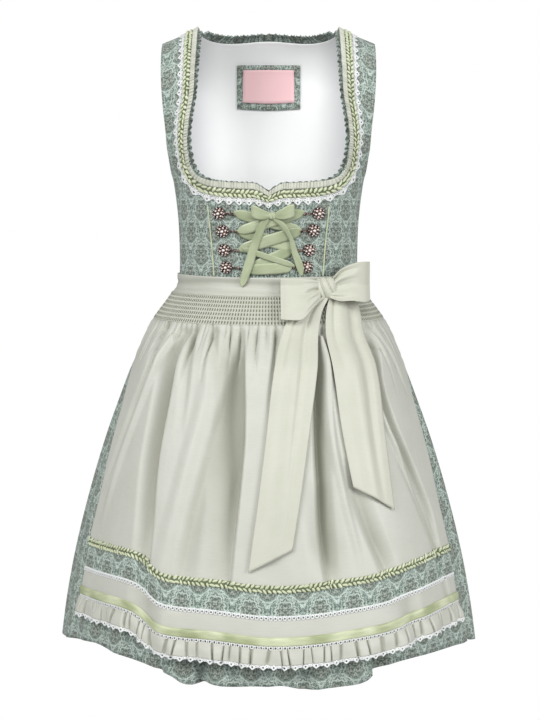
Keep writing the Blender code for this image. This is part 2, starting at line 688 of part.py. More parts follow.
def smocking(name, cloth):
    """Gathered top of the apron: upright ribs between rows of stitching."""
    columns = 2 * SMOCK_RIBS

    def raised(u, _):
        return SMOCK_HEIGHT * (0.5 + 0.5 * math.cos(math.pi * columns * u))

    spot = band_spot(BAND_END + SEAM / 2, SMOCK_END - SEAM / 2, -BAND_HALF_ANGLE, BAND_HALF_ANGLE)
    return sheet(name, cloth, columns, 3, apron, spot, 0.0, APRON_CLOTH, raised)


def ruffle(angle, run):
    """Waved face of the ruffle, still at its seam and full at its free edge."""
    drop = drop_of(run) + apron_rise(math.degrees(angle))
    free = min(max((drop - LOWER_LACE_FOOT) / (RUFFLE_FOOT - LOWER_LACE_FOOT), 0.0), 1.3)
    share = (math.degrees(angle) / apron_edge(RUFFLE_FOOT) + 1) / 2
    wave = 0.5 - 0.5 * math.cos(2 * math.pi * RUFFLE_WAVES * share)
    return off(apron, angle, run, RUFFLE_SWING * free * wave)


def ruffle_strip(name, cloth, levels):
    """Strip of the waved cloth with an edge or a row at each of these drops."""
    last = len(levels) - 1

    def spot(u, v):
        row = min(int(v * last + 0.5), last)
        return apron_spot(levels[row], levels[row], apron_edge(RUFFLE_FOOT))(u, 0.0)

    return sheet(name, cloth, 2 * RUFFLE_WAVES, last, ruffle, spot, 0.0, APRON_CLOTH)


# ---- Bows, hooks and lacing ----------------------------------------------------------------------
def front_depth_at(x, drop, distance):
    """Y of the point moved out from the front of the form at this side distance and drop."""
    run = run_of(drop)
    return off(form, angle_at(x, run), run, distance).y


def cloth_strip(name, cloth, columns, rows, point, thick):
    """Wall with point(u, v) for its outer face and its inner face moved in along the normal."""
    step = 0.002

    def inner(u, v):
        u1, u2 = max(u - step, 0.0), min(u + step, 1.0)
        v1, v2 = max(v - step, 0.0), min(v + step, 1.0)
        across = point(u2, v) - point(u1, v)
        down = point(u, v2) - point(u, v1)
        return point(u, v) - down.cross(across).normalized() * thick

    return wall(name, cloth, columns, rows, point, inner)


LoopStep = namedtuple("LoopStep", "share side top foot swell")


def loop(name, cloth, sections, middle, back_share, thick, columns):
    """Loop of ribbon: out from the knot along its front layer, round the fold, and back behind."""
    last = len(sections) - 1
    rows = [LoopStep(i / last, *section) for i, section in enumerate(sections)]
    side, top, foot, swell = (smooth(rows, "share", column) for column in LoopSection._fields)
    towards = 1 if sections[-1].side > sections[0].side else -1

    def point(u, v):
        at = 1 - abs(2 * u - 1)
        at = math.sin(at * math.pi / 2)
        x, z = side(at), mix(top(at), foot(at), v)
        out = swell(at) if (u < 0.5) else -back_share * swell(at)
        return Vector((x, middle(x, -z) - out, z))

    def ordered(u, v):
        return point(u, v) if towards > 0 else point(u, 1 - v)

    return cloth_strip(name, cloth, columns, 3, ordered, thick)


def bow_plane(x, drop):
    return BOW_PLANE + BOW_TURN * (x - KNOT.x) - BOW_LEAN * max(drop + KNOT.z, 0.0)


def lacing_plane(x, drop):
    return front_depth_at(x, drop, LACING_BOW_LIFT)


def knot(name, cloth, centre, size):
    bm = bmesh.new()
    bmesh.ops.create_uvsphere(bm, u_segments=8, v_segments=5, radius=0.5)
    for vert in bm.verts:
        vert.co = centre + Vector(a * b for a, b in zip(vert.co, size))
    return finish(name, bm, cloth)


def tail(name, cloth, sections, cut, rows):
    """Hanging end of the apron's tie, over the apron's folds."""
    left = smooth(sections, "drop", "left")
    right = smooth(sections, "drop", "right")

    def face(level):
        def point(u, v):
            drop = mix(sections[0].drop, mix(cut[0], cut[1], u), v ** 1.6)
            run = run_of(drop)
            full = ease((drop - SMOCK_END) / APRON_FULL_OVER)
            fold = TAIL_FOLD * (0.5 - 0.5 * math.cos(2 * math.pi * u)) * full
            rest = APRON_GAP + APRON_CLOTH + SMOCK_HEIGHT + TAIL_CLEAR + APRON_FULL * full
            angle = angle_at(mix(left(drop), right(drop), u), run)
            return off(form, angle, run, rest + fold + level)
        return point

    return wall(name, cloth, 4, rows, face(APRON_CLOTH), face(0.0))


def strand(cloth, run_across):
    """One run of the lacing, narrower where it turns through the hooks."""
    start = Vector((run_across.start_side, run_across.start_drop))
    end = Vector((run_across.end_side, run_across.end_drop))
    along = (end - start).normalized()
    sideways = Vector((-along.y, along.x))

    def face(level):
        def point(u, v):
            narrow = mix(1.0, STRAND_NARROWS, abs(2 * u - 1) ** 3)
            spot = start.lerp(end, u) + sideways * run_across.width * narrow * (v - 0.5)
            run = run_of(spot.y)
            lift = LACING_LIFT + LACING_LAYER * run_across.layer + level
            return off(form, angle_at(spot.x, run), run, lift)
        return point

    return wall(run_across.name, cloth, 4, 1, face(TRIM_CLOTH), face(0.0))


def hook(name, metal, place):
    """Flower hook: a scalloped dome with an arm towards the lacing."""
    sides = 2 * HOOK_PETALS
    bm = bmesh.new()
    bmesh.ops.create_cone(bm, cap_ends=True, cap_tris=True, segments=sides,
                          radius1=1.0, radius2=HOOK_CROWN, depth=1.0)
    inward = -math.copysign(1.0, place.side)
    for vert in bm.verts:
        share = math.hypot(vert.co.x, vert.co.y)
        turn = math.atan2(vert.co.y, vert.co.x)
        reach = share * (1 + HOOK_SCALLOP * math.cos(HOOK_PETALS * turn))
        if vert.co.z < 0 and share > 0.5 and math.cos(turn) * inward > 0.99:
            reach = HOOK_ARM
        x = place.side + HOOK_RADIUS * reach * math.cos(turn)
        drop = place.drop - HOOK_RADIUS * reach * math.sin(turn)
        height = HOOK_HEIGHT * (0.7 + 0.3 * (share < 0.1)) if vert.co.z > 0 else 0.0
        run = run_of(drop)
        vert.co = off(form, angle_at(x, run), run, TRIM_GAP + height)
    return finish(name, bm, metal)


# ---- The dress -----------------------------------------------------------------------------------
def build_bodice(print_cloth, lining_cloth, label_cloth):
    for side_name, hand in (("left", -1), ("right", 1)):
        bodice_front(f"bodice_front_{side_name}", print_cloth, hand)
        bodice_side(f"bodice_side_{side_name}", print_cloth, hand)
    sheet("bodice_back", print_cloth, 18, 10, form, back_spot(0.0), -BODICE_CLOTH, BODICE_CLOTH)
    lining_lift = -BODICE_CLOTH - LINING_GAP - LINING_CLOTH
    sheet("lining_back", lining_cloth, 18, 10, form, back_spot(LINING_DRAWN_IN), lining_lift, LINING_CLOTH)
    patch_lift = lining_lift - LABEL_GAP - TRIM_CLOTH
    label_lift = patch_lift - LABEL_GAP - TRIM_CLOTH
    patch, label = label_spot(PATCH_WIDTH, PATCH_HEIGHT), label_spot(LABEL_WIDTH, LABEL_HEIGHT)
    sheet("label_patch", print_cloth, 5, 3, form, patch, patch_lift, TRIM_CLOTH)
    sheet("label", label_cloth, 5, 3, form, label, label_lift, TRIM_CLOTH)


def build_neck(print_cloth, ivory, green, lace):
    neck_frill("neck_frill", print_cloth)
    back_frill("neck_frill_back", print_cloth)
    neck_trim("neck_ribbon", ivory, FRILL_END + SEAM, RIBBON_END, NECK_COLUMNS, 1)
    neck_trim("neck_braid", green, RIBBON_END + SEAM, BRAID_END, NECK_COLUMNS, 2, braid_height)
    neck_trim("neck_lace", lace, BRAID_END + SEAM, LACE_END, NECK_COLUMNS, 1)


def build_lacing(sage, metal):
    piping("piping_left", sage, -1)
    piping("piping_right", sage, 1)
    for number, place in enumerate(HOOKS):
        hook(f"hook_{'left' if place.side < 0 else 'right'}_{number % 4 + 1}", metal, place)
    for run_across in STRANDS:
        strand(sage, run_across)
    loop("lacing_loop_left", sage, LACING_LEFT_LOOP, lacing_plane, 0.1, 0.0008, 8)
    loop("lacing_loop_right", sage, LACING_RIGHT_LOOP, lacing_plane, 0.1, 0.0008, 8)
    centre_y = front_depth_at(LACING_KNOT.side, LACING_KNOT.drop, LACING_BOW_LIFT)
    centre = Vector((LACING_KNOT.side, centre_y, -LACING_KNOT.drop))
    knot("lacing_knot", sage, centre, LACING_KNOT_SIZE)


def build_skirt(print_cloth):
    skirt_half("skirt_front", print_cloth, 0.0)
    skirt_half("skirt_back", print_cloth, math.pi)


def build_apron(ivory, print_cloth, green, lace):
    band = band_spot(BAND_TOP, BAND_END - SEAM / 2, -BAND_HALF_ANGLE, BAND_HALF_ANGLE)
    tie = band_spot(BAND_TOP, BAND_END - SEAM / 2, BAND_HALF_ANGLE + 0.15, 359.85 - BAND_HALF_ANGLE)
    sheet("apron_band", ivory, 26, 2, form, band, APRON_GAP, APRON_CLOTH)
    sheet("apron_tie_back", ivory, 22, 2, form, tie, APRON_GAP, APRON_CLOTH)
    smocking("apron_smocking", ivory)
    apron_strip("apron_panel", ivory, SMOCK_END, (BRAID_TOP + BRAID_FOOT) / 2, 10)
    apron_strip("apron_braid", green, BRAID_TOP, BRAID_FOOT, 2, 1, braid_height)
    apron_strip("apron_print_strip", print_cloth, (BRAID_TOP + BRAID_FOOT) / 2, PRINT_END, 1)
    apron_strip("apron_lace_upper", lace, UPPER_LACE_TOP, UPPER_LACE_FOOT, 1, 1)
    apron_strip("apron_ivory_band", ivory, PRINT_END, RUFFLE_TOP, 1)
    apron_strip("apron_ribbon", green, RIBBON_TOP, RIBBON_FOOT, 1, 1)
    apron_strip("apron_lace_lower", lace, RIBBON_FOOT, LOWER_LACE_FOOT, 1, 1)
    ruffle_strip("apron_ruffle", ivory, [RUFFLE_TOP + RUFFLE_GAP, LOWER_LACE_FOOT, RUFFLE_FOOT])
    ruffle_strip("apron_picot_lace", lace, [RUFFLE_FOOT + SEAM, PICOT_FOOT])


def build_bow(ivory):
    loop("sash_loop_left", ivory, LEFT_LOOP, bow_plane, BOW_BACK, APRON_CLOTH, 12)
    loop("sash_loop_right", ivory, RIGHT_LOOP, bow_plane, BOW_BACK, APRON_CLOTH, 12)
    knot("sash_knot", ivory, KNOT, KNOT_SIZE)
    tail("sash_tail_left", ivory, LEFT_TAIL, LEFT_TAIL_CUT, 9)
    tail("sash_tail_right", ivory, RIGHT_TAIL, RIGHT_TAIL_CUT, 8)


def main():
    for old in list(bpy.data.objects):
        bpy.data.objects.remove(old, do_unlink=True)
    print_cloth = material("print cloth", (0.16, 0.24, 0.21), 0.85)
    lining_cloth = material("white lining", (0.80, 0.80, 0.80), 0.8)
    label_cloth = material("pink label", (0.80, 0.40, 0.44), 0.7)
    ivory = material("ivory satin", (0.70, 0.72, 0.64), 0.45)
    green = material("green braid", (0.46, 0.54, 0.28), 0.6)
    sage = material("sage ribbon", (0.58, 0.68, 0.42), 0.4)
    lace = material("white lace", (0.85, 0.85, 0.84), 0.8)
    metal = material("antique metal", (0.20, 0.15, 0.13), 0.35, 0.9)
    build_bodice(print_cloth, lining_cloth, label_cloth)
    build_neck(print_cloth, ivory, green, lace)
    build_lacing(sage, metal)
    build_skirt(print_cloth)
    build_apron(ivory, print_cloth, green, lace)
    build_bow(ivory)


main()
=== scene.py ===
# %% [markdown]
# # A dirndl dress with its own apron
# A dirndl is a fitted bodice sewn to a wide gathered skirt. A satin apron is tied over it with a bow.
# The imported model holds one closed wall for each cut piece. Each of them is built again here with its
# folds, gathers, lace and stitches, and with a procedural finish. The order is the dressmaker's: the
# form first, then the cloths, then bodice, neck trims, lacing, skirt, apron and bow.

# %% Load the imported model
import bisect
import json
import math
import random
from collections import namedtuple
from functools import lru_cache

import bmesh
import bpy
from mathutils import Matrix, Vector

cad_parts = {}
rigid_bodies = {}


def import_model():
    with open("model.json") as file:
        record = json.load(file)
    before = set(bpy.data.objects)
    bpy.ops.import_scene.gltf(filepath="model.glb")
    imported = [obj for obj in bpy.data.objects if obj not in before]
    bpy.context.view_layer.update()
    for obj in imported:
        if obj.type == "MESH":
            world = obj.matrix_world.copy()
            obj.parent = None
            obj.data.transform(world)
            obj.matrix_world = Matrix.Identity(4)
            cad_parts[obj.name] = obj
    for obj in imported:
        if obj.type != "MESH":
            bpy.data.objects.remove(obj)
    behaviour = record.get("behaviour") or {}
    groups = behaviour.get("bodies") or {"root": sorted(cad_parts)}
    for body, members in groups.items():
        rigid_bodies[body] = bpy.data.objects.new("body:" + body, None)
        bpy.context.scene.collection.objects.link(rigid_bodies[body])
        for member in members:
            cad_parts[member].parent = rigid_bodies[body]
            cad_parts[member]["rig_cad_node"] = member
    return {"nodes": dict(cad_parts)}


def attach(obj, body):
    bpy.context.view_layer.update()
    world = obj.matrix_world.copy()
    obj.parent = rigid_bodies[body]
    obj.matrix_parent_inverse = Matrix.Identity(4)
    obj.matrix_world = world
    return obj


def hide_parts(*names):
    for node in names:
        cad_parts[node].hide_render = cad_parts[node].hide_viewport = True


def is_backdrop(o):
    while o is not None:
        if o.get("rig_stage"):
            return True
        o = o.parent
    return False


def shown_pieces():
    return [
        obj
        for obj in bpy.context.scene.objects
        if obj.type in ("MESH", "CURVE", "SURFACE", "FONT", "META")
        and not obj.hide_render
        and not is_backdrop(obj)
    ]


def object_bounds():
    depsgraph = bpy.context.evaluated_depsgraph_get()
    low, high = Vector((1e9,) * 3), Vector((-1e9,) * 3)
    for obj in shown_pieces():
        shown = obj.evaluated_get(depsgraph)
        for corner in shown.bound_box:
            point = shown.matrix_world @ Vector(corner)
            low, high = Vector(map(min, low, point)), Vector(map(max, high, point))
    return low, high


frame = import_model()
cad_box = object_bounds()
print("solids:", len(frame["nodes"]), "box:", [round(v, 3) for v in (*cad_box[0], *cad_box[1])])

# %% [markdown]
# ## Camera, light and floor
# The dress is seen from the front and from a little above, through a long lens, so that it keeps its
# proportions. Two large soft lamps light it, the stronger one from the left, so that each fold has a
# light and a shaded side, and a small one shines down into the neck. The room gives a softer light from
# all sides, and looks plain white behind the dress. The floor is a round white plate below the picture.

# %% Camera
CAMERA_DISTANCE = 2.2
CAMERA_RISE = math.radians(5.4)
TARGET = Vector((0.002, 0.0, -0.440))
LENS = 79.7

camera = bpy.data.objects.new("camera", bpy.data.cameras.new("camera"))
camera.data.lens = LENS
away = Vector((0.0, -math.cos(CAMERA_RISE), math.sin(CAMERA_RISE)))
camera.location = TARGET + away * CAMERA_DISTANCE
camera.rotation_euler = away.to_track_quat("Z", "Y").to_euler()
bpy.context.scene.collection.objects.link(camera)
bpy.context.scene.camera = camera
bpy.context.scene.view_settings.view_transform = "Standard"

# %% Lamps and the white room
ROOM_LIGHT = 0.26


def lamp(name, place, size, watts):
    """A square soft lamp, turned to the middle of the dress."""
    made = bpy.data.objects.new(name, bpy.data.lights.new(name, "AREA"))
    made.data.size = size
    made.data.energy = watts
    made.location = place
    made.rotation_euler = (Vector(place) - TARGET).to_track_quat("Z", "Y").to_euler()
    bpy.context.scene.collection.objects.link(made)


lamp("key lamp", (-2.00, -2.30, 1.05), 1.8, 72.0)
lamp("fill lamp", (2.50, -2.00, 0.35), 1.6, 58.0)
lamp("neck lamp", (0.25, -2.60, 1.50), 0.8, 22.0)
room = bpy.data.worlds.new("white room")
room.use_nodes = True
paint = room.node_tree.nodes["Background"]
paint.inputs["Color"].default_value = (1.0, 1.0, 1.0, 1.0)
seen = room.node_tree.nodes.new("ShaderNodeLightPath")
level = room.node_tree.nodes.new("ShaderNodeMapRange")
level.inputs["To Min"].default_value = ROOM_LIGHT
level.inputs["To Max"].default_value = 1.0
room.node_tree.links.new(seen.outputs["Is Camera Ray"], level.inputs["Value"])
room.node_tree.links.new(level.outputs["Result"], paint.inputs["Strength"])
bpy.context.scene.world = room

# %% [markdown]
# ## Shader maths in Python
# A pattern in a material is arithmetic on coordinates. Writing it as nodes by hand hides the formula,
# so a small class wraps a socket, and each Python operator on it adds one Math node. Two UV maps carry
# what the patterns read: "cut" is the place on the flat cloth in metres, "fold" the depth in a fold,
# which some materials turn into a painted shade.

# %% A socket that can be calculated with
class Wire:
    """The output of a node. Operators on it add Math nodes to its material."""

    def __init__(self, shade, socket):
        self.shade, self.socket = shade, socket

    def math(self, operation, *others):
        return self.shade.node("Math", {"operation": operation}, self, *others)

    def __add__(self, other):
        return self.math("ADD", other)

    def __sub__(self, other):
        return self.math("SUBTRACT", other)

    def __rsub__(self, other):
        return self.shade.node("Math", {"operation": "SUBTRACT"}, other, self)

    def __mul__(self, other):
        return self.math("MULTIPLY", other)

    def __truediv__(self, other):
        return self.math("DIVIDE", other)

    def __pow__(self, other):
        return self.math("POWER", other)

    def __abs__(self):
        return self.math("ABSOLUTE")

    def __gt__(self, other):
        return self.math("GREATER_THAN", other)

    __radd__ = __add__
    __rmul__ = __mul__

    def step(self, low, high):
        """Smooth step: 0 at low and 1 at high."""
        settings = {"interpolation_type": "SMOOTHSTEP"}
        return self.shade.node("MapRange", settings, self, low, high)

    def line(self, at, half):
        """1 where the value is `at`, and 0 from `half` away from it."""
        return 1 - abs(self - at).step(0, half)


class Shade:
    """A new material: its Principled shader, and one method that adds any node."""

    def __init__(self, name, **fixed):
        self.material = bpy.data.materials.new(name)
        self.material.use_nodes = True
        self.tree = self.material.node_tree
        self.shader = self.tree.nodes["Principled BSDF"]
        for key, number in fixed.items():
            self.shader.inputs[key.replace("_", " ")].default_value = number

    def feed(self, socket, value):
        if isinstance(value, Wire):
            self.tree.links.new(value.socket, socket)
        else:
            socket.default_value = value

    def node(self, kind, settings, *inputs, out=0, **named):
        made = self.tree.nodes.new("ShaderNode" + kind)
        for key, setting in settings.items():
            setattr(made, key, setting)
        for socket, value in zip(made.inputs, inputs):
            self.feed(socket, value)
        for key, value in named.items():
            self.feed(made.inputs[key], value)
        return Wire(self, made.outputs[out])

    def split(self, vector):
        return [self.node("SeparateXYZ", {}, vector, out=i) for i in range(3)]

    def join(self, x, y, z=0.0):
        return self.node("CombineXYZ", {}, x, y, z)

    def read_map(self, name):
        return self.split(self.node("UVMap", {"uv_map": name}))

    def cut(self):
        """Across and down, in metres, on the flat cloth that the piece was cut from."""
        return self.read_map("cut")[:2]

    def place(self):
        """Where the point lies on the dress, in metres."""
        return self.node("TexCoord", {}, out=3)

    def noise(self, vector, scale, detail=2.0, roughness=0.5):
        return self.node("TexNoise", {}, Vector=vector, Scale=scale, Detail=detail, Roughness=roughness)

    def mix(self, factor, start, end):
        made = self.tree.nodes.new("ShaderNodeMix")
        made.data_type = "RGBA"
        for socket, value in zip((made.inputs[0], made.inputs[6], made.inputs[7]), (factor, start, end)):
            self.feed(socket, value)
        return Wire(self, made.outputs[2])

    def bump(self, height, distance, strength=1.0):
        return self.node("Bump", {}, Strength=strength, Distance=distance, Height=height)

    def finish(self, **links):
        for key, value in links.items():
            self.feed(self.shader.inputs[key.replace("_", " ")], value)
        return self.material


def tint(code):
    """Linear colour of a web colour such as d8dacb."""
    parts = [int(code[i:i + 2], 16) / 255 for i in (0, 2, 4)]
    return (*[((c + 0.055) / 1.055) ** 2.4 if c > 0.04 else c / 12.92 for c in parts], 1.0)


# %% The floor
FLOOR_DROP = 0.45
FLOOR_RADIUS = 0.85

floor_shade = Shade("pale floor", Roughness=0.9)
floor_grain = floor_shade.noise(floor_shade.place(), 30.0)
floor_paint = floor_shade.finish(Base_Color=floor_shade.mix(floor_grain, tint("f6f6f6"), tint("efefef")))
bm = bmesh.new()
bmesh.ops.create_circle(bm, cap_ends=True, segments=96, radius=FLOOR_RADIUS)
floor = bpy.data.objects.new("floor", bpy.data.meshes.new("floor"))
for vert in bm.verts:
    vert.co.z = cad_box[0].z - FLOOR_DROP
bm.to_mesh(floor.data)
bm.free()
floor.data.materials.append(floor_paint)
bpy.context.scene.collection.objects.link(floor)
floor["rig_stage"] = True
print("floor", round(floor.data.vertices[0].co.z, 3), "m below the shoulders")

# %% [markdown]
# ## The print
# The cotton has a damask of cones in pointed frames, in two greys and two mint greens. The frames make
# a lattice with a half drop, so the same motif sits in every other gap, and each is its own mirror
# image. The maths first finds the nearest motif, then draws it from the distance to its middle. The
# scrolls between are level lines of a noise that is read in the motif's own mirrored coordinates, so
# they repeat as a printed cloth does.

# %% Print
CONE_PITCH = 0.0445
CONE_REPEAT = 0.0590
CONE_HALF, CONE_TALL, CONE_TAPER = 0.0122, 0.0142, 0.22
THREAD_TURN = 7000


def nearest_motif(across, down):
    """Place within the nearest motif, mirrored about its middle, and how far inside its frame that is."""
    a, b = across / CONE_PITCH, down / CONE_REPEAT
    first_x, first_y = (a + 0.5).math("FRACT") - 0.5, (b + 0.5).math("FRACT") - 0.5
    other_x, other_y = a.math("FRACT") - 0.5, b.math("FRACT") - 0.5
    frame_edge = (first_y * math.pi).math("COSINE") ** 2 * 0.5 - abs(first_x)
    inside = frame_edge > 0
    x = (abs(other_x) + inside * (abs(first_x) - abs(other_x))) * CONE_PITCH
    y = (other_y + inside * (first_y - other_y)) * CONE_REPEAT
    return x, y, frame_edge


def damask(name, fold_shade=False):
    """The printed cotton. Its layers are painted one over the other, each with its share and colour. A
    fold-shaded one gets a painted shade in its valleys, from its map "fold".
    """
    shade = Shade(name, Roughness=0.78, Specular_IOR_Level=0.25, Sheen_Weight=0.1)
    across, down = shade.cut()
    x, y, frame_edge = nearest_motif(across, down)
    bend = shade.noise(shade.join(x, y), 140.0, 1.0) - 0.5
    vine = shade.noise(shade.join(x + bend * 0.003, y + bend * 0.005, 3.0), 115.0, 1.0)
    sprig = shade.noise(shade.join(x, y, 5.0), 300.0, 2.0, 0.6)
    grain = shade.noise(shade.join(across, down), 640.0, 2.0, 0.6)
    scales = shade.noise(shade.join(x, y * 0.8, 9.0), 430.0, 1.0)
    petal = ((y + 0.002).math("ARCTAN2", x) * 8).math("SINE")
    radius = ((x / (CONE_HALF + y * CONE_TAPER)) ** 2 + (y / CONE_TALL) ** 2) ** 0.5
    cone = 1 - radius.step(0.80, 1.0)
    rim = (radius + petal * 0.07 + bend * 0.3).line(1.08, 0.15)
    crown = (radius + petal * 0.14 + bend * 0.4).line(1.42, 0.14)
    clear = radius.step(1.02, 1.2)
    stems = ((vine * 8.0).math("FRACT") - 0.5).line(0.0, 0.16) * clear
    leaves = (sprig + vine * 0.5).step(0.80, 0.88) * clear
    lattice = (abs(frame_edge) + bend * 0.16).line(0.045, 0.022)
    core = shade.mix(scales.step(0.38, 0.62), tint("606c65"), tint("b6bdb3"))
    layers = [(leaves * 0.85, tint("c9d9d0")), (stems * 0.9, tint("dbe5de")),
              (lattice * 0.5, tint("afc1b7")), (cone * 0.9, core), (rim * 0.9, tint("cfdcd4")),
              (crown * 0.75, tint("cddad2")), (grain.step(0.46, 0.68) * 0.62, tint("3b4a42"))]
    # painted shade in the frill's valleys, from the map "fold"
    if fold_shade:
        layers.append((shade.read_map("fold")[0] * 0.85, tint("2b342f")))
    pattern = shade.mix(sprig.step(0.36, 0.64), tint("4b5b53"), tint("96a89e"))
    for share, colour in layers:
        pattern = shade.mix(share, pattern, colour)
    weave = (across * THREAD_TURN).math("SINE") * (down * THREAD_TURN).math("SINE")
    return shade.finish(Base_Color=pattern, Normal=shade.bump(weave, 0.00008, 0.5))


print_cotton = damask("print cotton")
frill_cotton = damask("frill cotton", fold_shade=True)
print("print:", len(print_cotton.node_tree.nodes), "nodes")

# %% [markdown]
# ## Satin, ribbon, lace and metal
# The apron and its ties are an ivory taffeta satin: soft gloss, a fine rib across the cloth, and faint
# slubs. The apron's satin gets a painted shade where it lies deep in a fold. The ribbons are the same
# weave in sage; where their cloudy patches are strong, these are painted light and shade as on crumpled
# satin. Lace and lining are matt white, the lining with a painted shade at its flanks. The hooks are
# cast and antiqued, so the metal is dark brown in the hollows. Their beads are pearls, painted near
# white, which also makes a painted highlight; they are marked in the UV map "part".

# %% Satins
RIB_TURN = 9000


def satin(name, light, shadow, roughness=0.42, gloss=0.35, mottle=0.3, fold_shade=False):
    """Woven satin, with slubs along the weft, a fine rib, and cloudy patches as strong as mottle says:
    uneven tone, and where they are strong a painted light and shade as on crumpled satin. A fold-shaded one
    gets a painted shade where its map "fold" says that the cloth lies deep."""
    shade = Shade(name, Roughness=roughness, Sheen_Weight=0.12, Specular_IOR_Level=gloss)
    across, down = shade.cut()
    slub = shade.noise(shade.join(across * 60, down * 1400), 1.0, 2.0)
    # cloudy patches: uneven tone, and where the mottle is strong a painted light and shade as on crumpled
    # satin
    tone_and_shade_cloud = shade.noise(shade.join(across, down), 24.0, 1.0).step(0.3, 0.7)
    colour = shade.mix(slub.step(0.35, 0.75) * 0.35 + tone_and_shade_cloud * mottle, tint(light), tint(shadow))
    # painted shade where the cloth lies deep in a fold
    if fold_shade:
        colour = shade.mix(shade.read_map("fold")[0] * 0.6, colour, tint("82856f"))
    rib = (down * RIB_TURN).math("SINE") + slub * 2
    crinkle = shade.noise(shade.join(across, down * 0.35), 55.0, 2.0)
    return shade.finish(Base_Color=colour, Roughness=slub * 0.1 + roughness - 0.05,
                        Normal=shade.bump(rib * 0.02 + crinkle, 0.0007, 0.6))


ivory_satin = satin("ivory satin", "cacbc2", "babbae", 0.48, 0.5, 0.2, fold_shade=True)
tie_satin = satin("tie satin", "cacbbd", "bcbeac", 0.45, 0.5, 0.2)
ivory_ribbon = satin("ivory ribbon", "d2d4c8", "bcbfae", 0.5, fold_shade=True)
sage_satin = satin("sage satin", "bcc6a5", "8f9b76", 0.38, 0.9, 0.6)
# the strong mottle of the sage ribbon paints the light and shade of crumpled satin
sage_ribbon = satin("sage ribbon", "dbe1c0", "a0aa80", 0.42, 0.6, 0.9)
sage_braid = satin("sage braid", "dde3c6", "a6b088", 0.5)
# painted shade: the dark ground that shows in the gaps between a braid's leaves
braid_ground_shade = satin("braid ground shade", "687254", "475138", 0.8)

# %% Lining, lace and label
def plain_cloth(name, light, shadow, thread, flank_shade=0.0):
    """Matt cloth with a plain weave of this thread pitch. The lining gets a painted shade at its flanks,
    where it turns to the front and less light comes in."""
    shade = Shade(name, Roughness=0.8, Specular_IOR_Level=0.2)
    across, down = shade.cut()
    turn = 2 * math.pi / thread
    weave = (across * turn).math("SINE") * (down * turn).math("SINE")
    mottle = shade.noise(shade.join(across, down), 40.0)
    colour = shade.mix(weave * 0.15 + mottle * 0.5, tint(light), tint(shadow))
    # painted shade at the lining's flanks
    if flank_shade:
        side = abs(shade.split(shade.place())[0])
        colour = shade.mix(side.step(0.060, 0.120) * flank_shade, colour, tint("a5a6aa"))
    return shade.finish(Base_Color=colour, Normal=shade.bump(weave, 0.0001, 0.5))


white_lining = plain_cloth("white lining", "fbfcfc", "f6f7f7", 0.0008, flank_shade=0.55)
white_lace = plain_cloth("white lace", "f3f5f5", "e2e6e4", 0.0012)
pink_label = plain_cloth("pink label", "ffd6d9", "fac9ce", 0.0009)

# %% Metal
CAST_METALLIC = 0.85


def cast_metal():
    """Dark cast metal, worn to a paler tone, with near-white pearls where the map "part" says 1; their pale
    colour is also a painted highlight.
    """
    shade = Shade("antique metal", Metallic=CAST_METALLIC, Roughness=0.32)
    pearl_and_highlight = shade.read_map("part")[0]
    worn = shade.noise(shade.place(), 420.0, 3.0)
    cast = shade.mix(worn.step(0.40, 0.66), tint("2e1f1a"), tint("b79a90"))
    # near-white pearls, their colour also a painted highlight
    colour = shade.mix(pearl_and_highlight * 0.9, cast, tint("fbeee9"))
    return shade.finish(Base_Color=colour, Roughness=0.5 - worn * 0.3,
                        Metallic=CAST_METALLIC - pearl_and_highlight * 0.45, Normal=shade.bump(worn, 0.0003, 0.4))


antique_metal = cast_metal()

# %% [markdown]
# ## The form of the dress
# All pieces lie on one smooth form, so that they fit each other. A place on it is an angle round the
# body, 0 at centre front, and a run, the distance down the cloth from the top of the shoulder. The form
# is an ellipse at each drop, and its half width and depths come from smooth tables.

# %% Smooth tables
def clamp(value, low=0.0, high=1.0):
    return min(max(value, low), high)


def smooth(rows):
    """A smooth function through rows of (key, value), level beyond the first and the last."""
    keys, values = zip(*rows)
    last = len(rows) - 1
    slopes = []
    for i in range(last + 1):
        before, after = max(i - 1, 0), min(i + 1, last)
        slopes.append((values[after] - values[before]) / (keys[after] - keys[before]))

    def value(at):
        at = clamp(at, keys[0], keys[-1])
        i = min(bisect.bisect_right(keys, at), last) - 1
        step = keys[i + 1] - keys[i]
        t = (at - keys[i]) / step
        return (values[i] * (1 - t) ** 2 * (1 + 2 * t) + slopes[i] * step * t * (1 - t) ** 2
                + values[i + 1] * t * t * (3 - 2 * t) - slopes[i + 1] * step * t * t * (1 - t))

    return value


def smooth_columns(rows):
    """A smooth function for each column after the first, which holds the keys."""
    keys, *columns = zip(*rows)
    return [smooth(list(zip(keys, column))) for column in columns]


def evenly(rows):
    """The rows with keys spread evenly over 0..1."""
    return [(i / (len(rows) - 1), *row) for i, row in enumerate(rows)]


def ease(t):
    """Smooth step from 0 to 1."""
    t = clamp(t)
    return t * t * (3 - 2 * t)


def bell(t):
    """1 at 0, falling smoothly to 0 at 1."""
    return 1 - ease(abs(t))


def mix(start, end, t):
    return start + (end - start) * t


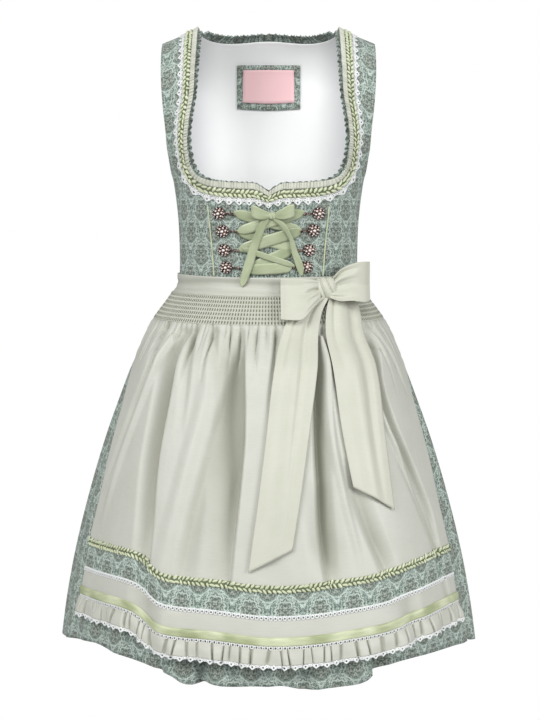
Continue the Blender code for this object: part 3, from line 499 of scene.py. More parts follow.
# %% The tables of the form
DROPS = (0.000, 0.060, 0.100, 0.125, 0.150, 0.166, 0.187, 0.207, 0.247, 0.290, 0.322, 0.336, 0.346, 0.357,
         0.370, 0.385, 0.405, 0.445, 0.490, 0.550, 0.624, 0.700, 0.770, 0.840)
HALF_WIDTHS = (
    0.2000, 0.1950, 0.1820, 0.1690, 0.1525, 0.1425, 0.1318, 0.1277, 0.1232, 0.1216, 0.1218, 0.1232, 0.1280,
    0.1352, 0.1450, 0.1560, 0.1685, 0.1895, 0.2072, 0.2288, 0.2511, 0.2705, 0.2842, 0.2940)
FRONT_DEPTHS = (
    0.0900, 0.0950, 0.1000, 0.1040, 0.1080, 0.1110, 0.1135, 0.1150, 0.1110, 0.1030, 0.0980, 0.0985, 0.1030,
    0.1090, 0.1165, 0.1260, 0.1365, 0.1540, 0.1680, 0.1860, 0.2050, 0.2205, 0.2325, 0.2410)
BACK_DEPTHS = (
    0.0950, 0.1000, 0.1030, 0.1040, 0.1040, 0.1035, 0.1025, 0.1010, 0.0980, 0.0950, 0.0940, 0.0950, 0.0995,
    0.1055, 0.1130, 0.1230, 0.1340, 0.1515, 0.1660, 0.1845, 0.2040, 0.2205, 0.2325, 0.2410)
side_half, front_depth, back_depth = smooth_columns(zip(DROPS, HALF_WIDTHS, FRONT_DEPTHS, BACK_DEPTHS))
armhole_side = smooth([(0.000, 0.1430), (0.040, 0.1425), (0.085, 0.1400), (0.125, 0.1365), (0.152, 0.1352),
                       (0.166, 0.1335), (0.187, 0.1318)])
princess_side = smooth([(0.190, 0.0812), (0.225, 0.0796), (0.280, 0.0748), (0.322, 0.0720), (0.336, 0.0716)])
SEAM = 0.0003
SHOULDER_ROLL = 0.080
QUARTER = SHOULDER_ROLL * math.pi / 2
SHOULDER_SLOPE = math.tan(math.radians(23))
STRAP_MIDDLE = 0.118
NECK_ROUND = 0.050
SLOPE_FADE = 0.100
SHOULDER_SEAM = -0.0168
UNDERARM = 0.187
WAIST = 0.336
BUST_LIFT, BUST_SIDE, BUST_DROP, BUST_RADIUS = 0.009, 0.058, 0.222, 0.040
BUST_FOOT = BUST_DROP + 3 * BUST_RADIUS
NORMAL_TURN, NORMAL_STEP = 0.002, 0.0005

# %% Places on the form
def drop_of(run):
    """Drop below the top of the shoulder after this run down the cloth."""
    run = abs(run)
    if run < QUARTER:
        return SHOULDER_ROLL * (1 - math.cos(run / SHOULDER_ROLL))
    return SHOULDER_ROLL + run - QUARTER


def run_of(drop):
    """Run down the cloth to this drop."""
    if drop < SHOULDER_ROLL:
        return SHOULDER_ROLL * math.acos(1 - drop / SHOULDER_ROLL)
    return QUARTER + drop - SHOULDER_ROLL


def shoulder_line(x):
    """Height of the sloping shoulder at this side distance, 0 in the middle of the strap."""
    return SHOULDER_SLOPE * (math.hypot(STRAP_MIDDLE, NECK_ROUND) - math.hypot(x, NECK_ROUND))


@lru_cache(maxsize=4096)
def section(run):
    """Drop, half width, front and back depth, and share of the shoulder's slope at this run."""
    drop = drop_of(run)
    roll = math.sin(min(run / SHOULDER_ROLL, math.pi / 2))
    slope = 1 - ease((drop - SHOULDER_ROLL) / SLOPE_FADE)
    return drop, side_half(drop), front_depth(drop) * roll, back_depth(drop) * roll, slope


def form(angle, run):
    """A point of the form. A negative run lies behind the top of the shoulder."""
    if run < 0:
        angle, run = math.pi - angle, -run
    drop, half, front, back, slope = section(run)
    x = half * math.sin(angle)
    z = (shoulder_line(x) * slope if slope else 0.0) - drop
    forward = math.cos(angle)
    if forward < 0:
        return Vector((x, -back * forward, z))
    if drop > BUST_FOOT:
        return Vector((x, -front * forward, z))
    off_cup = ((abs(x) - BUST_SIDE) ** 2 + (drop - BUST_DROP) ** 2) / BUST_RADIUS ** 2
    cup = BUST_LIFT * math.exp(-off_cup) * min(forward * 4, 1)
    return Vector((x, -front * forward - cup, z))


def off(surface, angle, run, distance):
    """The point this far outside a surface, along its normal."""
    across = surface(angle + NORMAL_TURN, run) - surface(angle - NORMAL_TURN, run)
    down = surface(angle, run + NORMAL_STEP) - surface(angle, run - NORMAL_STEP)
    return surface(angle, run) + down.cross(across).normalized() * distance


def angle_at(x, run):
    """Angle whose point at this run lies this far to the side."""
    return math.asin(clamp(x / side_half(drop_of(run)), -1.0, 1.0))


def above(x, drop, distance):
    """The point this far outside the form, at this side distance and drop."""
    run = run_of(drop)
    return off(form, angle_at(x, run), run, distance)


def girth(angle, run, steps=8, surface=form):
    """Distance round a surface from centre front, or from centre back behind the shoulders."""
    points = [surface(angle * i / steps, run) for i in range(steps + 1)]
    return math.copysign(sum((b - a).length for a, b in zip(points, points[1:])), angle)


print("waist girth", round(4 * girth(math.pi / 2, run_of(WAIST)), 3), "m")

# %% [markdown]
# ## How a piece of cloth is made
# A piece starts as a flat grid. Each corner gets its place on the flat cut in the UV map "cut", and is
# then moved to where it hangs. The print and the weave read that map, so they bend and gather with the
# cloth. A fold-shaded cloth has a second map, "fold", its depth in a fold, which the material paints as
# shade. A Solidify modifier gives the thickness at the end.

# %% From a flat grid to a hanging piece
def face_outwards(bm):
    """Turn the faces over if most of them look towards the wearer."""
    bm.normal_update()
    outwards = sum(f.normal.xy.dot(f.calc_center_median().xy) * f.calc_area() for f in bm.faces)
    if outwards < 0:
        bmesh.ops.reverse_faces(bm, faces=bm.faces[:])


def settle(name, bm, finish, thick, side=-1.0, lining=None):
    """Make the object: its material, thickness and, where given, another cloth inside."""
    mesh = bpy.data.meshes.new(name)
    bm.to_mesh(mesh)
    bm.free()
    mesh.shade_smooth()
    mesh.materials.append(finish)
    made = bpy.data.objects.new(name, mesh)
    bpy.context.scene.collection.objects.link(made)
    if thick:
        wall = made.modifiers.new("thickness", "SOLIDIFY")
        wall.thickness = thick
        wall.offset = side
        if lining:
            mesh.materials.append(lining)
            wall.material_offset = 1
    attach(made, "root")
    return made


def write_map(bm, name, places):
    """Write each vertex's place into the UV map of this name, which is made where it is missing."""
    layer = bm.loops.layers.uv.get(name) or bm.loops.layers.uv.new(name)
    for face in {face for vert in places for face in vert.link_faces}:
        for loop in face.loops:
            loop[layer].uv = places[loop.vert]


def lengths_along(verts):
    """Distance of each vertex from the first, along the line through them."""
    sums = [0.0]
    for a, b in zip(verts, verts[1:]):
        sums.append(sums[-1] + (b.co - a.co).length)
    return sums


def cut_by_length(bm, columns, rows):
    """Flat cut of a moved grid: lengths along its foot, and down its middle column."""
    grid = [bm.verts[row * (columns + 1):(row + 1) * (columns + 1)] for row in range(rows + 1)]
    across = lengths_along(grid[0])
    down = lengths_along([row[columns // 2] for row in reversed(grid)])
    return [s - across[-1] / 2 for s in across], down


def cloth(name, finish, columns, rows, point, cut=None, thick=0.0012, fold=None, **wall):
    """A grid moved by point(u, v); cut(u, v) gives its flat place, or its own lengths do. fold(u, v) says
    how deep the cloth lies in a fold, from 0 to 1, which its material paints as shade."""
    bm = bmesh.new()
    bmesh.ops.create_grid(bm, x_segments=columns, y_segments=rows, size=0.5)
    bm.verts.ensure_lookup_table()
    flat = {vert: (vert.co.x + 0.5, 0.5 - vert.co.y) for vert in bm.verts}
    for vert, (u, v) in flat.items():
        vert.co = point(u, v)
    if not cut:
        across, down = cut_by_length(bm, columns, rows)

        def cut(u, v):
            return across[round(u * columns)], down[round(v * rows)]

    write_map(bm, "cut", {vert: cut(u, v) for vert, (u, v) in flat.items()})
    if fold:
        write_map(bm, "fold", {vert: (clamp(fold(u, v)), 0.0) for vert, (u, v) in flat.items()})
    face_outwards(bm)
    return settle(name, bm, finish, thick, **wall)


def on_form(name, finish, columns, rows, spot, lift=0.0, surface=form, shift=(0.0, 0.0), **wall):
    """A grid on a surface: spot(u, v) gives angle and run, and lift its height, or a function of u, v."""
    height = lift if callable(lift) else (lambda u, v: lift)

    def point(u, v):
        return off(surface, *spot(u, v), height(u, v))

    def cut(u, v):
        angle, run = spot(u, v)
        return girth(angle, run) + shift[0], abs(run) + shift[1]

    return cloth(name, finish, columns, rows, point, wall.pop("cut", cut), **wall)


def stands_for(piece, slot, *nodes):
    """The piece takes the place of these solids, which are hidden. The slot is not used."""
    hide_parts(*nodes)
    return piece


# %% [markdown]
# ## Bodice
# Two centre fronts, two side fronts that run up into the straps, and a back. The seams between them are
# princess seams, which shape the bust without darts. The outside is print, the inside white lining, so
# each wall gets the lining as its second material.

# %% The neck edge, as rows of (side, run, degrees outwards, spread of the trims)
NECK = ((0.0000, 0.2427, 0, 1.00), (0.0300, 0.2423, 0, 1.00), (0.0606, 0.2405, 3, 1.00),
        (0.0755, 0.2387, 10, 0.95), (0.0866, 0.2353, 25, 0.85), (0.0940, 0.2303, 43, 0.74),
        (0.0985, 0.2237, 58, 0.68), (0.1018, 0.2147, 72, 0.64), (0.1040, 0.2007, 84, 0.62),
        (0.1046, 0.1877, 91, 0.64), (0.1035, 0.1757, 95, 0.68), (0.1008, 0.1594, 96, 0.72),
        (0.0959, 0.1365, 95, 0.77), (0.0938, 0.1050, 93, 0.80), (0.0920, 0.0650, 91, 0.84),
        (0.0914, 0.0000, 90, 0.86), (0.0905, -0.0168, 90, 0.86))
NOTCH_DEPTH, NOTCH_HALF, NOTCH_FADE = 0.0117, 0.020, 0.045
neck_alongs = [0.0]
for before, after in zip(NECK, NECK[1:]):
    neck_alongs.append(neck_alongs[-1] + math.hypot(after[0] - before[0], after[1] - before[1]))
NECK_HALF = neck_alongs[-1]
neck_side, neck_run, neck_turn, neck_spread = smooth_columns(
    [(along, *row) for along, row in zip(neck_alongs, NECK)])


def neck_point(along, distance):
    """Side distance and run of the point this far along the neck and out from the frill's edge."""
    at = abs(along)
    turn = math.radians(neck_turn(at))
    out = distance * neck_spread(at)
    run = neck_run(at) + out * math.cos(turn)
    notch = NOTCH_DEPTH * (1 - distance / NOTCH_FADE)
    run += notch * max(0.0, 1 - neck_side(at) / NOTCH_HALF) ** 1.4
    return math.copysign(neck_side(at) + out * math.sin(turn), along), run


def neck_spot(along, distance):
    side, run = neck_point(along, distance)
    return angle_at(side, run), run


print("neck edge", round(2 * NECK_HALF, 3), "m")

# %% Fronts
FRILL_END = 0.0034
PANEL_EDGE = FRILL_END + SEAM
BODICE_CLOTH = 0.0020


def meets_princess(low=0.05, high=0.12):
    """Distance along the neck where the princess seam starts, by halving."""
    for _ in range(40):
        middle = (low + high) / 2
        side, run = neck_point(middle, PANEL_EDGE)
        low, high = (middle, high) if side < princess_side(drop_of(run)) else (low, middle)
    return low


PRINCESS_START = meets_princess()
WAIST_RUN = run_of(WAIST) - SEAM / 2


def front_panel(hand):
    """Centre front from the neck down to the waist, out to the princess seam."""
    def spot(u, v):
        side, top = neck_point(PRINCESS_START * u, PANEL_EDGE)
        share = side / princess_side(drop_of(top))
        run = mix(top, WAIST_RUN, v)
        x = mix(SEAM / 2, princess_side(drop_of(run)) - SEAM / 2, share)
        return hand * angle_at(x, run), run

    return spot


def side_edge(run):
    """Angle of the armhole's edge, and of the side seam below the underarm."""
    drop = drop_of(run)
    if drop < UNDERARM:
        return math.asin(min(armhole_side(drop) / side_half(drop), 1.0))
    return math.pi / 2 - SEAM / 2 / side_half(drop)


SIDE_TOP_SHARE = 0.72
SIDE_TOP_END = 0.2480
PRINT_SIDE, PRINT_SKEW, PRINT_DROP = 0.0110, 0.002, 0.016


def side_panel(hand):
    """Strap and side front: inside the neck edge and the princess seam, outside the armhole."""
    corner_run = neck_point(PRINCESS_START, PANEL_EDGE)[1]
    seam = SHOULDER_SEAM + SEAM / 2

    def spot(u, v):
        if v < SIDE_TOP_SHARE:
            t = 1 - (1 - v / SIDE_TOP_SHARE) ** 1.5
            side, inner_run = neck_point(mix(NECK_HALF, PRINCESS_START, t), PANEL_EDGE)
            inner_run = max(inner_run, seam)
            outer_run = mix(seam, SIDE_TOP_END, t)
        else:
            t = (v - SIDE_TOP_SHARE) / (1 - SIDE_TOP_SHARE)
            inner_run = mix(corner_run, WAIST_RUN, t)
            side = princess_side(drop_of(inner_run))
            outer_run = mix(SIDE_TOP_END, WAIST_RUN, t)
        if inner_run >= corner_run:
            side += SEAM / 2
        angle = mix(angle_at(side, inner_run), side_edge(outer_run), u)
        return hand * angle, mix(inner_run, outer_run, u)

    return spot


for word, hand in (("left", -1), ("right", 1)):
    for node, panel, columns, rows in ((f"bodice_front_{word}", front_panel, 20, 36),
                                       (f"bodice_side_{word}", side_panel, 20, 110)):
        made = on_form(f"{node}_print", print_cotton, columns, rows, panel(hand), thick=BODICE_CLOTH,
                       shift=(PRINT_SIDE + PRINT_SKEW * hand, PRINT_DROP), lining=white_lining)
        stands_for(made, "print", node)

# %% Back and its lining
BACK_NECK_SIDE, BACK_NECK_RUN, BACK_NECK_POWER = 0.0914, 0.0665, 2.4
BACK_NECK_SHARE = 0.60


def back_neck_point(share, clear):
    """A point of the back neck edge, share 0 at the shoulder seam and 1 at centre back."""
    start = math.asin((-SHOULDER_SEAM / BACK_NECK_RUN) ** (BACK_NECK_POWER / 2))
    t = mix(start, math.pi / 2, share)
    side = (BACK_NECK_SIDE + clear) * math.cos(t) ** (2 / BACK_NECK_POWER)
    return side, -(BACK_NECK_RUN + clear) * math.sin(t) ** (2 / BACK_NECK_POWER)


def back_spot(clear):
    """Grid over the back, its neck and armholes drawn in by `clear`."""
    def spot(u, v):
        across = abs(2 * u - 1)
        if across > BACK_NECK_SHARE:
            t = (across - BACK_NECK_SHARE) / (1 - BACK_NECK_SHARE)
            strap_edge = armhole_side(0) - clear
            top_side = mix(back_neck_point(0, FRILL_END + clear)[0], strap_edge, t)
            top_run = SHOULDER_SEAM - SEAM / 2
        else:
            top_side, top_run = back_neck_point(1 - across / BACK_NECK_SHARE, FRILL_END + clear)
            top_run = min(top_run, SHOULDER_SEAM - SEAM / 2)
        run = mix(top_run, -WAIST_RUN, v ** 1.25)
        top_share = angle_at(top_side, top_run) / side_edge(top_run)
        edge = side_edge(run) - clear / side_half(drop_of(run))
        return math.copysign(edge * mix(top_share, across, ease(1.4 * v)), u - 0.5), run

    return spot


LINING_GAP, LINING_CLOTH, LINING_OVER = 0.0052, 0.001, 0.0006
LINING_LIFT = -BODICE_CLOTH - LINING_GAP
back = on_form("bodice_back_print", print_cotton, 80, 70, back_spot(0.0), thick=BODICE_CLOTH,
               lining=white_lining)
stands_for(back, "print", "bodice_back")
lining = on_form("back_lining", white_lining, 70, 60, back_spot(-LINING_OVER), LINING_LIFT,
                 thick=LINING_CLOTH, side=1.0)
stands_for(lining, "lining", "lining_back")

# %% [markdown]
# ## Label
# A patch of the print with a pink label on it is sewn to the lining, below the back neck. The label is
# plain.

# %% Label and patch
LABEL_DROP = 0.0885
PATCH_SIZE, LABEL_SIZE = (0.092, 0.0560), (0.0755, 0.0425)
LABEL_GAP, LABEL_CLOTH, PATCH_PRINT_DROP = 0.0014, 0.001, 0.013


def label_spot(width, height):
    """An upright rectangle, level although the shoulders slope."""
    def spot(u, v):
        x = width * (u - 0.5)
        drop = LABEL_DROP + height * (v - 0.5)
        drop += (shoulder_line(x) - shoulder_line(0.0)) * (1 - ease((drop - SHOULDER_ROLL) / SLOPE_FADE))
        return angle_at(x, -run_of(drop)), -run_of(drop)

    return spot


PATCH_LIFT = LINING_LIFT - LABEL_GAP - LABEL_CLOTH
LABEL_LIFT = PATCH_LIFT - LABEL_GAP - LABEL_CLOTH
patch = on_form("label_print_patch", print_cotton, 16, 12, label_spot(*PATCH_SIZE), PATCH_LIFT,
                shift=(0.0, PATCH_PRINT_DROP), thick=LABEL_CLOTH, side=1.0)
stands_for(patch, "print", "label_patch")
label = on_form("label_pink", pink_label, 16, 12, label_spot(*LABEL_SIZE), LABEL_LIFT, thick=LABEL_CLOTH,
                side=1.0)
stands_for(label, "label", "label")

# %% [markdown]
# ## Neck trims
# From the neck edge outwards lie a small frill of the print, a pleated ivory ribbon, a ruched sage braid
# and a white picot lace. Each is drawn flat, by its distance along the neck and out from the edge, and
# then laid on the form. The pleats and the ruching are uneven, so their sizes come from a seeded row of
# random numbers.

# %% Frill and pleated ribbon
TRIM_GAP = 0.0008
RIBBON_END, BRAID_END = 0.0105, 0.0225
FRILL_FOOT, FRILL_LIFT = 0.0064, -BODICE_CLOTH - 0.0021
BACK_FRILL_RISE = 0.0094
FRILL_CLOTH, FRILL_SPREAD = 0.0007, 0.35
REACH = NECK_HALF - SEAM


def uneven(count, spread, seed):
    """A smooth function from 0..1 to 0..count that passes through uneven steps."""
    draw = random.Random(seed)
    ends = [0.0]
    for _ in range(count):
        ends.append(ends[-1] + 1 + spread * (draw.random() * 2 - 1))
    return smooth([(end / ends[-1], i) for i, end in enumerate(ends)])


def frill_point(place, waves, swing, seed):
    """Waved edge of a frill behind the panel: place(u, v, nudge) gives angle and run."""
    count = uneven(waves, FRILL_SPREAD, seed)

    def point(u, v):
        turn = 2 * math.pi * count(u)
        angle, run = place(u, v, 0.0007 * math.cos(turn + 0.8) * (1 - v))
        wave = swing * (0.9 * math.cos(turn + 0.5 * math.sin(turn)) + 0.35 * math.cos(0.43 * turn)) * (1 - v)
        return off(form, angle, run, FRILL_LIFT + wave)

    return point


def frill_fold_shade(waves, seed):
    """Painted shade in the valleys between the waves of a frill, fading towards its seam."""
    count = uneven(waves, FRILL_SPREAD, seed)
    return lambda u, v: (0.5 - 0.5 * math.cos(2 * math.pi * count(u))) ** 2.5 * (1 - 0.3 * v)


def front_frill_place(u, v, nudge):
    return neck_spot(mix(-REACH, REACH, u), FRILL_FOOT * v + nudge)


def back_frill_place(u, v, nudge):
    """Along the back neck, where the frill stands lower towards the shoulders."""
    share = 1 - abs(2 * u - 1)
    tall = BACK_FRILL_RISE * (0.80 + 0.20 * ease(3 * share))
    side, run = back_neck_point(share, mix(-tall, FRILL_FOOT, v) + nudge)
    return angle_at(math.copysign(side, u - 0.5), min(run, SHOULDER_SEAM - SEAM)), run


for name, node, columns, rows, place, waves, swing, seed in (
        ("neck_frill_print", "neck_frill", 1000, 5, front_frill_place, 96, 0.0017, 3),
        ("back_neck_frill_print", "neck_frill_back", 480, 8, back_frill_place, 40, 0.0016, 5)):
    frill = cloth(name, frill_cotton, columns, rows, frill_point(place, waves, swing, seed),
                  thick=FRILL_CLOTH, fold=frill_fold_shade(waves, seed))
    stands_for(frill, "print", node)


def trim_spot(start, end):
    """Strip along the neck, between these two distances out from its edge."""
    def spot(u, v):
        return neck_spot(mix(-REACH, REACH, u), mix(start, end, v))

    return spot


PLEATS, PLEAT_RISE = 190, 0.75
PLEAT_CLOTH = 0.0006
pleat = uneven(PLEATS, 0.3, 7)


def saw_tooth(u):
    """Knife pleats: a slow rise and a sharp drop."""
    t = pleat(u) % 1.0
    return t / PLEAT_RISE if t < PLEAT_RISE else (1 - t) / (1 - PLEAT_RISE)


def pleat_depth(u):
    """0 at the shallowest pleats and 1 at the deepest."""
    return math.sin(0.7 * pleat(u)) ** 2


def pleat_lift(u, v):
    """Height of the pleats, flatter at the ribbon's outer edge."""
    return TRIM_GAP + PLEAT_CLOTH + (0.0014 + 0.0012 * pleat_depth(u)) * saw_tooth(u) * (1 - 0.5 * v)


# painted shade where each pleat drops, deeper at the deeper pleats
def pleat_fold_shade(u, v):
    return (1 - saw_tooth(u)) ** 3 * (0.5 + 0.5 * pleat_depth(u))


ribbon = on_form("neck_pleated_ribbon", ivory_ribbon, PLEATS * 8, 4,
                 trim_spot(FRILL_END - 0.0008, RIBBON_END), pleat_lift, cut=None, thick=PLEAT_CLOTH,
                 fold=pleat_fold_shade)
stands_for(ribbon, "ivory", "neck_ribbon")

# %% [markdown]
# ## Ruched braid
# The braid is a narrow satin ribbon that is folded to and fro and caught down its middle, so that it
# reads as two rows of small leaves with dark gaps between them; a dark ground under the leaves is the
# painted shade of these gaps. One leaf is a small grid, pinched at both ends and arched across. It is
# copied along the braid and turned a little differently each time.

# %% Leaves in two rows
LEAF_PITCH, LEAF_WEAVE = 0.0058, 1.2
BRAID_CLOTH, BRAID_ARCH = 0.0004, 0.0006


def leaf(bm, place, along, across, length, width, turn, height):
    """Add one arched leaf. place(s, d, h) puts it on its surface."""
    made = bmesh.ops.create_grid(bm, x_segments=5, y_segments=3, size=0.5)
    cos, sin = math.cos(turn), math.sin(turn)
    flat = {}
    for vert in made["verts"]:
        t, w = vert.co.x * 2, vert.co.y * 2
        full = (1 - t * t) ** 0.6
        s, d = t * length / 2, w * width / 2 * full
        flat[vert] = (along + s * cos - d * sin, across + s * sin + d * cos)
        vert.co = place(*flat[vert], 0.0005 + height * (1 - w * w) * full + 0.0004 * full)
    write_map(bm, "cut", {vert: (LEAF_WEAVE * s, LEAF_WEAVE * d) for vert, (s, d) in flat.items()})


def ruched(name, length, width, pitch, place, seed):
    """Two rows of leaves along a braid of this length, centred at 0."""
    draw = random.Random(seed)
    bm = bmesh.new()
    count = int(length / pitch)
    for i in range(count):
        for row in (-1, 1):
            middle = (i + 0.5 + 0.25 * row) * length / count - length / 2
            turn = row * (0.70 + 1.0 * (draw.random() - 0.5))
            leaf(bm, place, middle, row * width * (0.22 + 0.04 * draw.random()),
                 pitch * (1.15 + 0.40 * draw.random()), width * (0.27 + 0.11 * draw.random()), turn,
                 0.0013 + 0.0014 * draw.random())
    face_outwards(bm)
    return settle(name, bm, sage_braid, BRAID_CLOTH)


def on_neck(middle):
    """place(s, d, h) for a trim along the neck, with its middle this far out from the edge."""
    def place(s, d, h):
        return off(form, *neck_spot(s, middle + d), TRIM_GAP + h)

    return place


def arched(lift):
    """Height of a braid's ground, lifted this much at its edges and arched between them."""
    return lambda u, v: lift + BRAID_ARCH * math.sin(math.pi * v)


# the braid's dark ground, a painted shade in the gaps between its leaves
neck_base = on_form("neck_braid_ribbon", braid_ground_shade, 300, 4,
                    trim_spot(RIBBON_END + 0.001, BRAID_END - 0.001), arched(TRIM_GAP + BRAID_CLOTH),
                    thick=BRAID_CLOTH, cut=None)
stands_for(neck_base, "green", "neck_braid")
neck_leaves = ruched("neck_braid_ruching", 2 * REACH - 0.004, BRAID_END - RIBBON_END, LEAF_PITCH,
                     on_neck((RIBBON_END + BRAID_END) / 2), 11)

# %% [markdown]
# ## Lace
# Lace is mostly holes. A motif is made from rings: a circle is extruded inwards once, and the two loops
# are shaped to the motif's outline and its hole. The motifs are drawn flat, side by side, and laid on
# the surface with the same function as the other trims.

# %% Rings of thread
Ring = namedtuple("Ring", "x y outer inner diamond", defaults=(False,))


def ring(bm, place, x, y, shape):
    """A flat ring of thread at x, y. Its outer and inner sizes are (half width, half height)."""
    made = bmesh.ops.create_circle(bm, segments=8, radius=1.0)
    edges = list({edge for vert in made["verts"] for edge in vert.link_edges})
    grown = bmesh.ops.extrude_edge_only(bm, edges=edges)
    hole = [item for item in grown["geom"] if isinstance(item, bmesh.types.BMVert)]
    flat = {}
    for verts, (half_width, half_height) in ((made["verts"], shape.outer), (hole, shape.inner)):
        for vert in verts:
            reach = 1 / (abs(vert.co.x) + abs(vert.co.y)) if shape.diamond else 1.0
            flat[vert] = (x + vert.co.x * half_width * reach, y + vert.co.y * half_height * reach)
    lay_thread(bm, place, flat)


def lay_thread(bm, place, flat):
    """Move flat thread to its place on the surface, and keep where it lay as its cut."""
    for vert, spot in flat.items():
        vert.co = place(*spot, 0.0)
    write_map(bm, "cut", flat)


def lace(name, node, length, pitch, place, motif, tape):
    """Repeat a motif of rings along a length, and hang it from a tape of this width."""
    bm = bmesh.new()
    count = int(length / pitch)
    for i in range(count):
        middle = (i + 0.5) * length / count - length / 2
        for shape in motif:
            ring(bm, place, middle + shape.x * pitch, shape.y, shape)
    made = bmesh.ops.create_grid(bm, x_segments=count * 3, y_segments=1, size=0.5)
    lay_thread(bm, place, {vert: (vert.co.x * length, tape * (0.5 - vert.co.y)) for vert in made["verts"]})
    face_outwards(bm)
    return stands_for(settle(name, bm, white_lace, LACE_THREAD, side=1.0), "lace", node)


LACE_THREAD = 0.0007
NECK_LACE_PITCH, NECK_LACE_TAPE, NECK_LACE_TUCK = 0.0125, 0.0017, 0.0012
NECK_MOTIF = (
    Ring(0.0, 0.0066, (0.0044, 0.0042), (0.0012, 0.0017), diamond=True),
    *(Ring(x, 0.0042, (0.0024, 0.0020), (0.0007, 0.0006)) for x in (-0.30, 0.30)),
    Ring(0.5, 0.0036, (0.0024, 0.0017), (0.0007, 0.0006)),
    Ring(0.0, 0.0022, (0.0026, 0.0015), (0.0006, 0.0005)),
)
neck_lace = lace("neck_picot_lace", "neck_lace", 2 * REACH - 0.002, NECK_LACE_PITCH,
                 on_neck(BRAID_END - NECK_LACE_TUCK), NECK_MOTIF, NECK_LACE_TAPE)
print("neck trims:", [len(piece.data.polygons) for piece in (neck_leaves, neck_lace)], "faces")

# %% [markdown]
# ## Piping, hooks and lacing
# A thin sage piping marks the princess seams. Four flower hooks sit on each centre front, and a satin
# ribbon is laced between their arms and tied in a small bow at the top. A ribbon is a grid along a path:
# each row of the path says where it runs, how wide it shows and how high it lies.

# %% Piping
PIPING_TOP, PIPING_FOOT, PIPING_WIDTH = run_of(0.2290), run_of(0.3210), 0.0020
PIPING_LIFT, PIPING_ROUND, PIPING_CLOTH = 0.0002, 0.0010, 0.0003


def piping_spot(hand):
    """Strip along the princess seam of this side."""
    def spot(u, v):
        run = mix(PIPING_TOP, PIPING_FOOT, v)
        return hand * angle_at(princess_side(drop_of(run)) + PIPING_WIDTH * (u - 0.5), run), run

    return spot


def piping_lift(u, v):
    return PIPING_LIFT + PIPING_ROUND * math.sin(math.pi * u)


for word, hand in (("left", -1), ("right", 1)):
    cord = on_form(f"piping_{word}_cord", sage_braid, 6, 60, piping_spot(hand), piping_lift,
                   thick=PIPING_CLOTH, cut=None)
    stands_for(cord, "sage", f"piping_{word}")

# %% Ribbon along a path
RIBBON_CLOTH, RIBBON_ARCH = 0.0004, 0.0004


def ribbon_path(rows, twist):
    """point(u, v) along rows of (side, drop, width, lift), twisted this much between its ends."""
    side, drop, width, lift = smooth_columns(evenly(rows))

    def point(u, v):
        aside, ahead = side(u + 0.01) - side(u - 0.01), drop(u + 0.01) - drop(u - 0.01)
        length = math.hypot(aside, ahead)
        w = width(u) * (v - 0.5)
        arch = RIBBON_ARCH * (1 - (2 * v - 1) ** 2)
        height = lift(u) + arch + twist * (v - 0.5) * math.sin(math.pi * u)
        return above(side(u) - ahead / length * w, drop(u) + aside / length * w, height)

    return point


def lace_ribbon(name, rows, twist, columns=36):
    return cloth(name, sage_satin, columns, 6, ribbon_path(rows, twist), thick=RIBBON_CLOTH, side=1.0)


STRANDS = (
    ("lacing_1", (-0.0450, 0.2370), (0.0430, 0.2605), 0.0140, 0, 0.0008),
    ("lacing_2", (0.0460, 0.2355), (-0.0400, 0.2610), 0.0140, 1, -0.0010),
    ("lacing_3", (-0.0400, 0.2600), (0.0310, 0.2830), 0.0155, 0, 0.0010),
    ("lacing_4", (0.0430, 0.2595), (-0.0380, 0.2850), 0.0155, 1, 0.0012),
    ("lacing_5", (-0.0330, 0.2830), (0.0330, 0.3060), 0.0082, 2, -0.0012),
    ("lacing_6", (0.0310, 0.2850), (-0.0270, 0.3120), 0.0155, 0, 0.0008),
)


def strand_rows(start, end, width, layer):
    """Rows of a ribbon that is pinched where it turns through the hooks."""
    rows = []
    for share, narrow in ((0.0, 0.25), (0.05, 0.62), (0.14, 0.93), (0.5, 1.0), (0.86, 0.93), (0.95, 0.62),
                          (1.0, 0.25)):
        lift = 0.0008 + 0.0015 * layer + 0.0010 * math.sin(math.pi * share)
        rows.append((mix(start[0], end[0], share), mix(start[1], end[1], share), width * narrow, lift))
    return rows


for name, start, end, width, layer, twist in STRANDS:
    stands_for(lace_ribbon(f"{name}_ribbon", strand_rows(start, end, width, layer), twist), "sage", name)
last_turn = lace_ribbon("lacing_last_turn", strand_rows((-0.0270, 0.3115), (0.0300, 0.3085), 0.0150, 1),
                        twist=-0.0008)
ENDS = (
    ("lacing_end_left", 0.0015, (
        (-0.0010, 0.2440, 0.0060, 0.0062), (-0.0080, 0.2530, 0.0095, 0.0060),
        (-0.0170, 0.2770, 0.0105, 0.0055), (-0.0250, 0.3040, 0.0110, 0.0058),
        (-0.0320, 0.3270, 0.0085, 0.0056), (-0.0340, 0.3350, 0.0008, 0.0052))),
    ("lacing_end_right", -0.0020, (
        (0.0080, 0.2440, 0.0050, 0.0062), (0.0190, 0.2530, 0.0070, 0.0066),
        (0.0285, 0.2700, 0.0050, 0.0058), (0.0330, 0.2880, 0.0075, 0.0060),
        (0.0400, 0.3080, 0.0090, 0.0050), (0.0420, 0.3190, 0.0030, 0.0046))),
)
for name, twist, rows in ENDS:
    stands_for(lace_ribbon(f"{name}_ribbon", rows, twist, columns=60), "sage", name)

# %% Bow of the lacing
LACING_BOW_LIFT = 0.0056
KNOT_FOLDS = 0.30
Bow = namedtuple("Bow", "part word slot finish columns rows thick plane back_share")


def lacing_plane(x, drop):
    """Depth of the surface that the small bow stands on."""
    return above(x, drop, LACING_BOW_LIFT).y


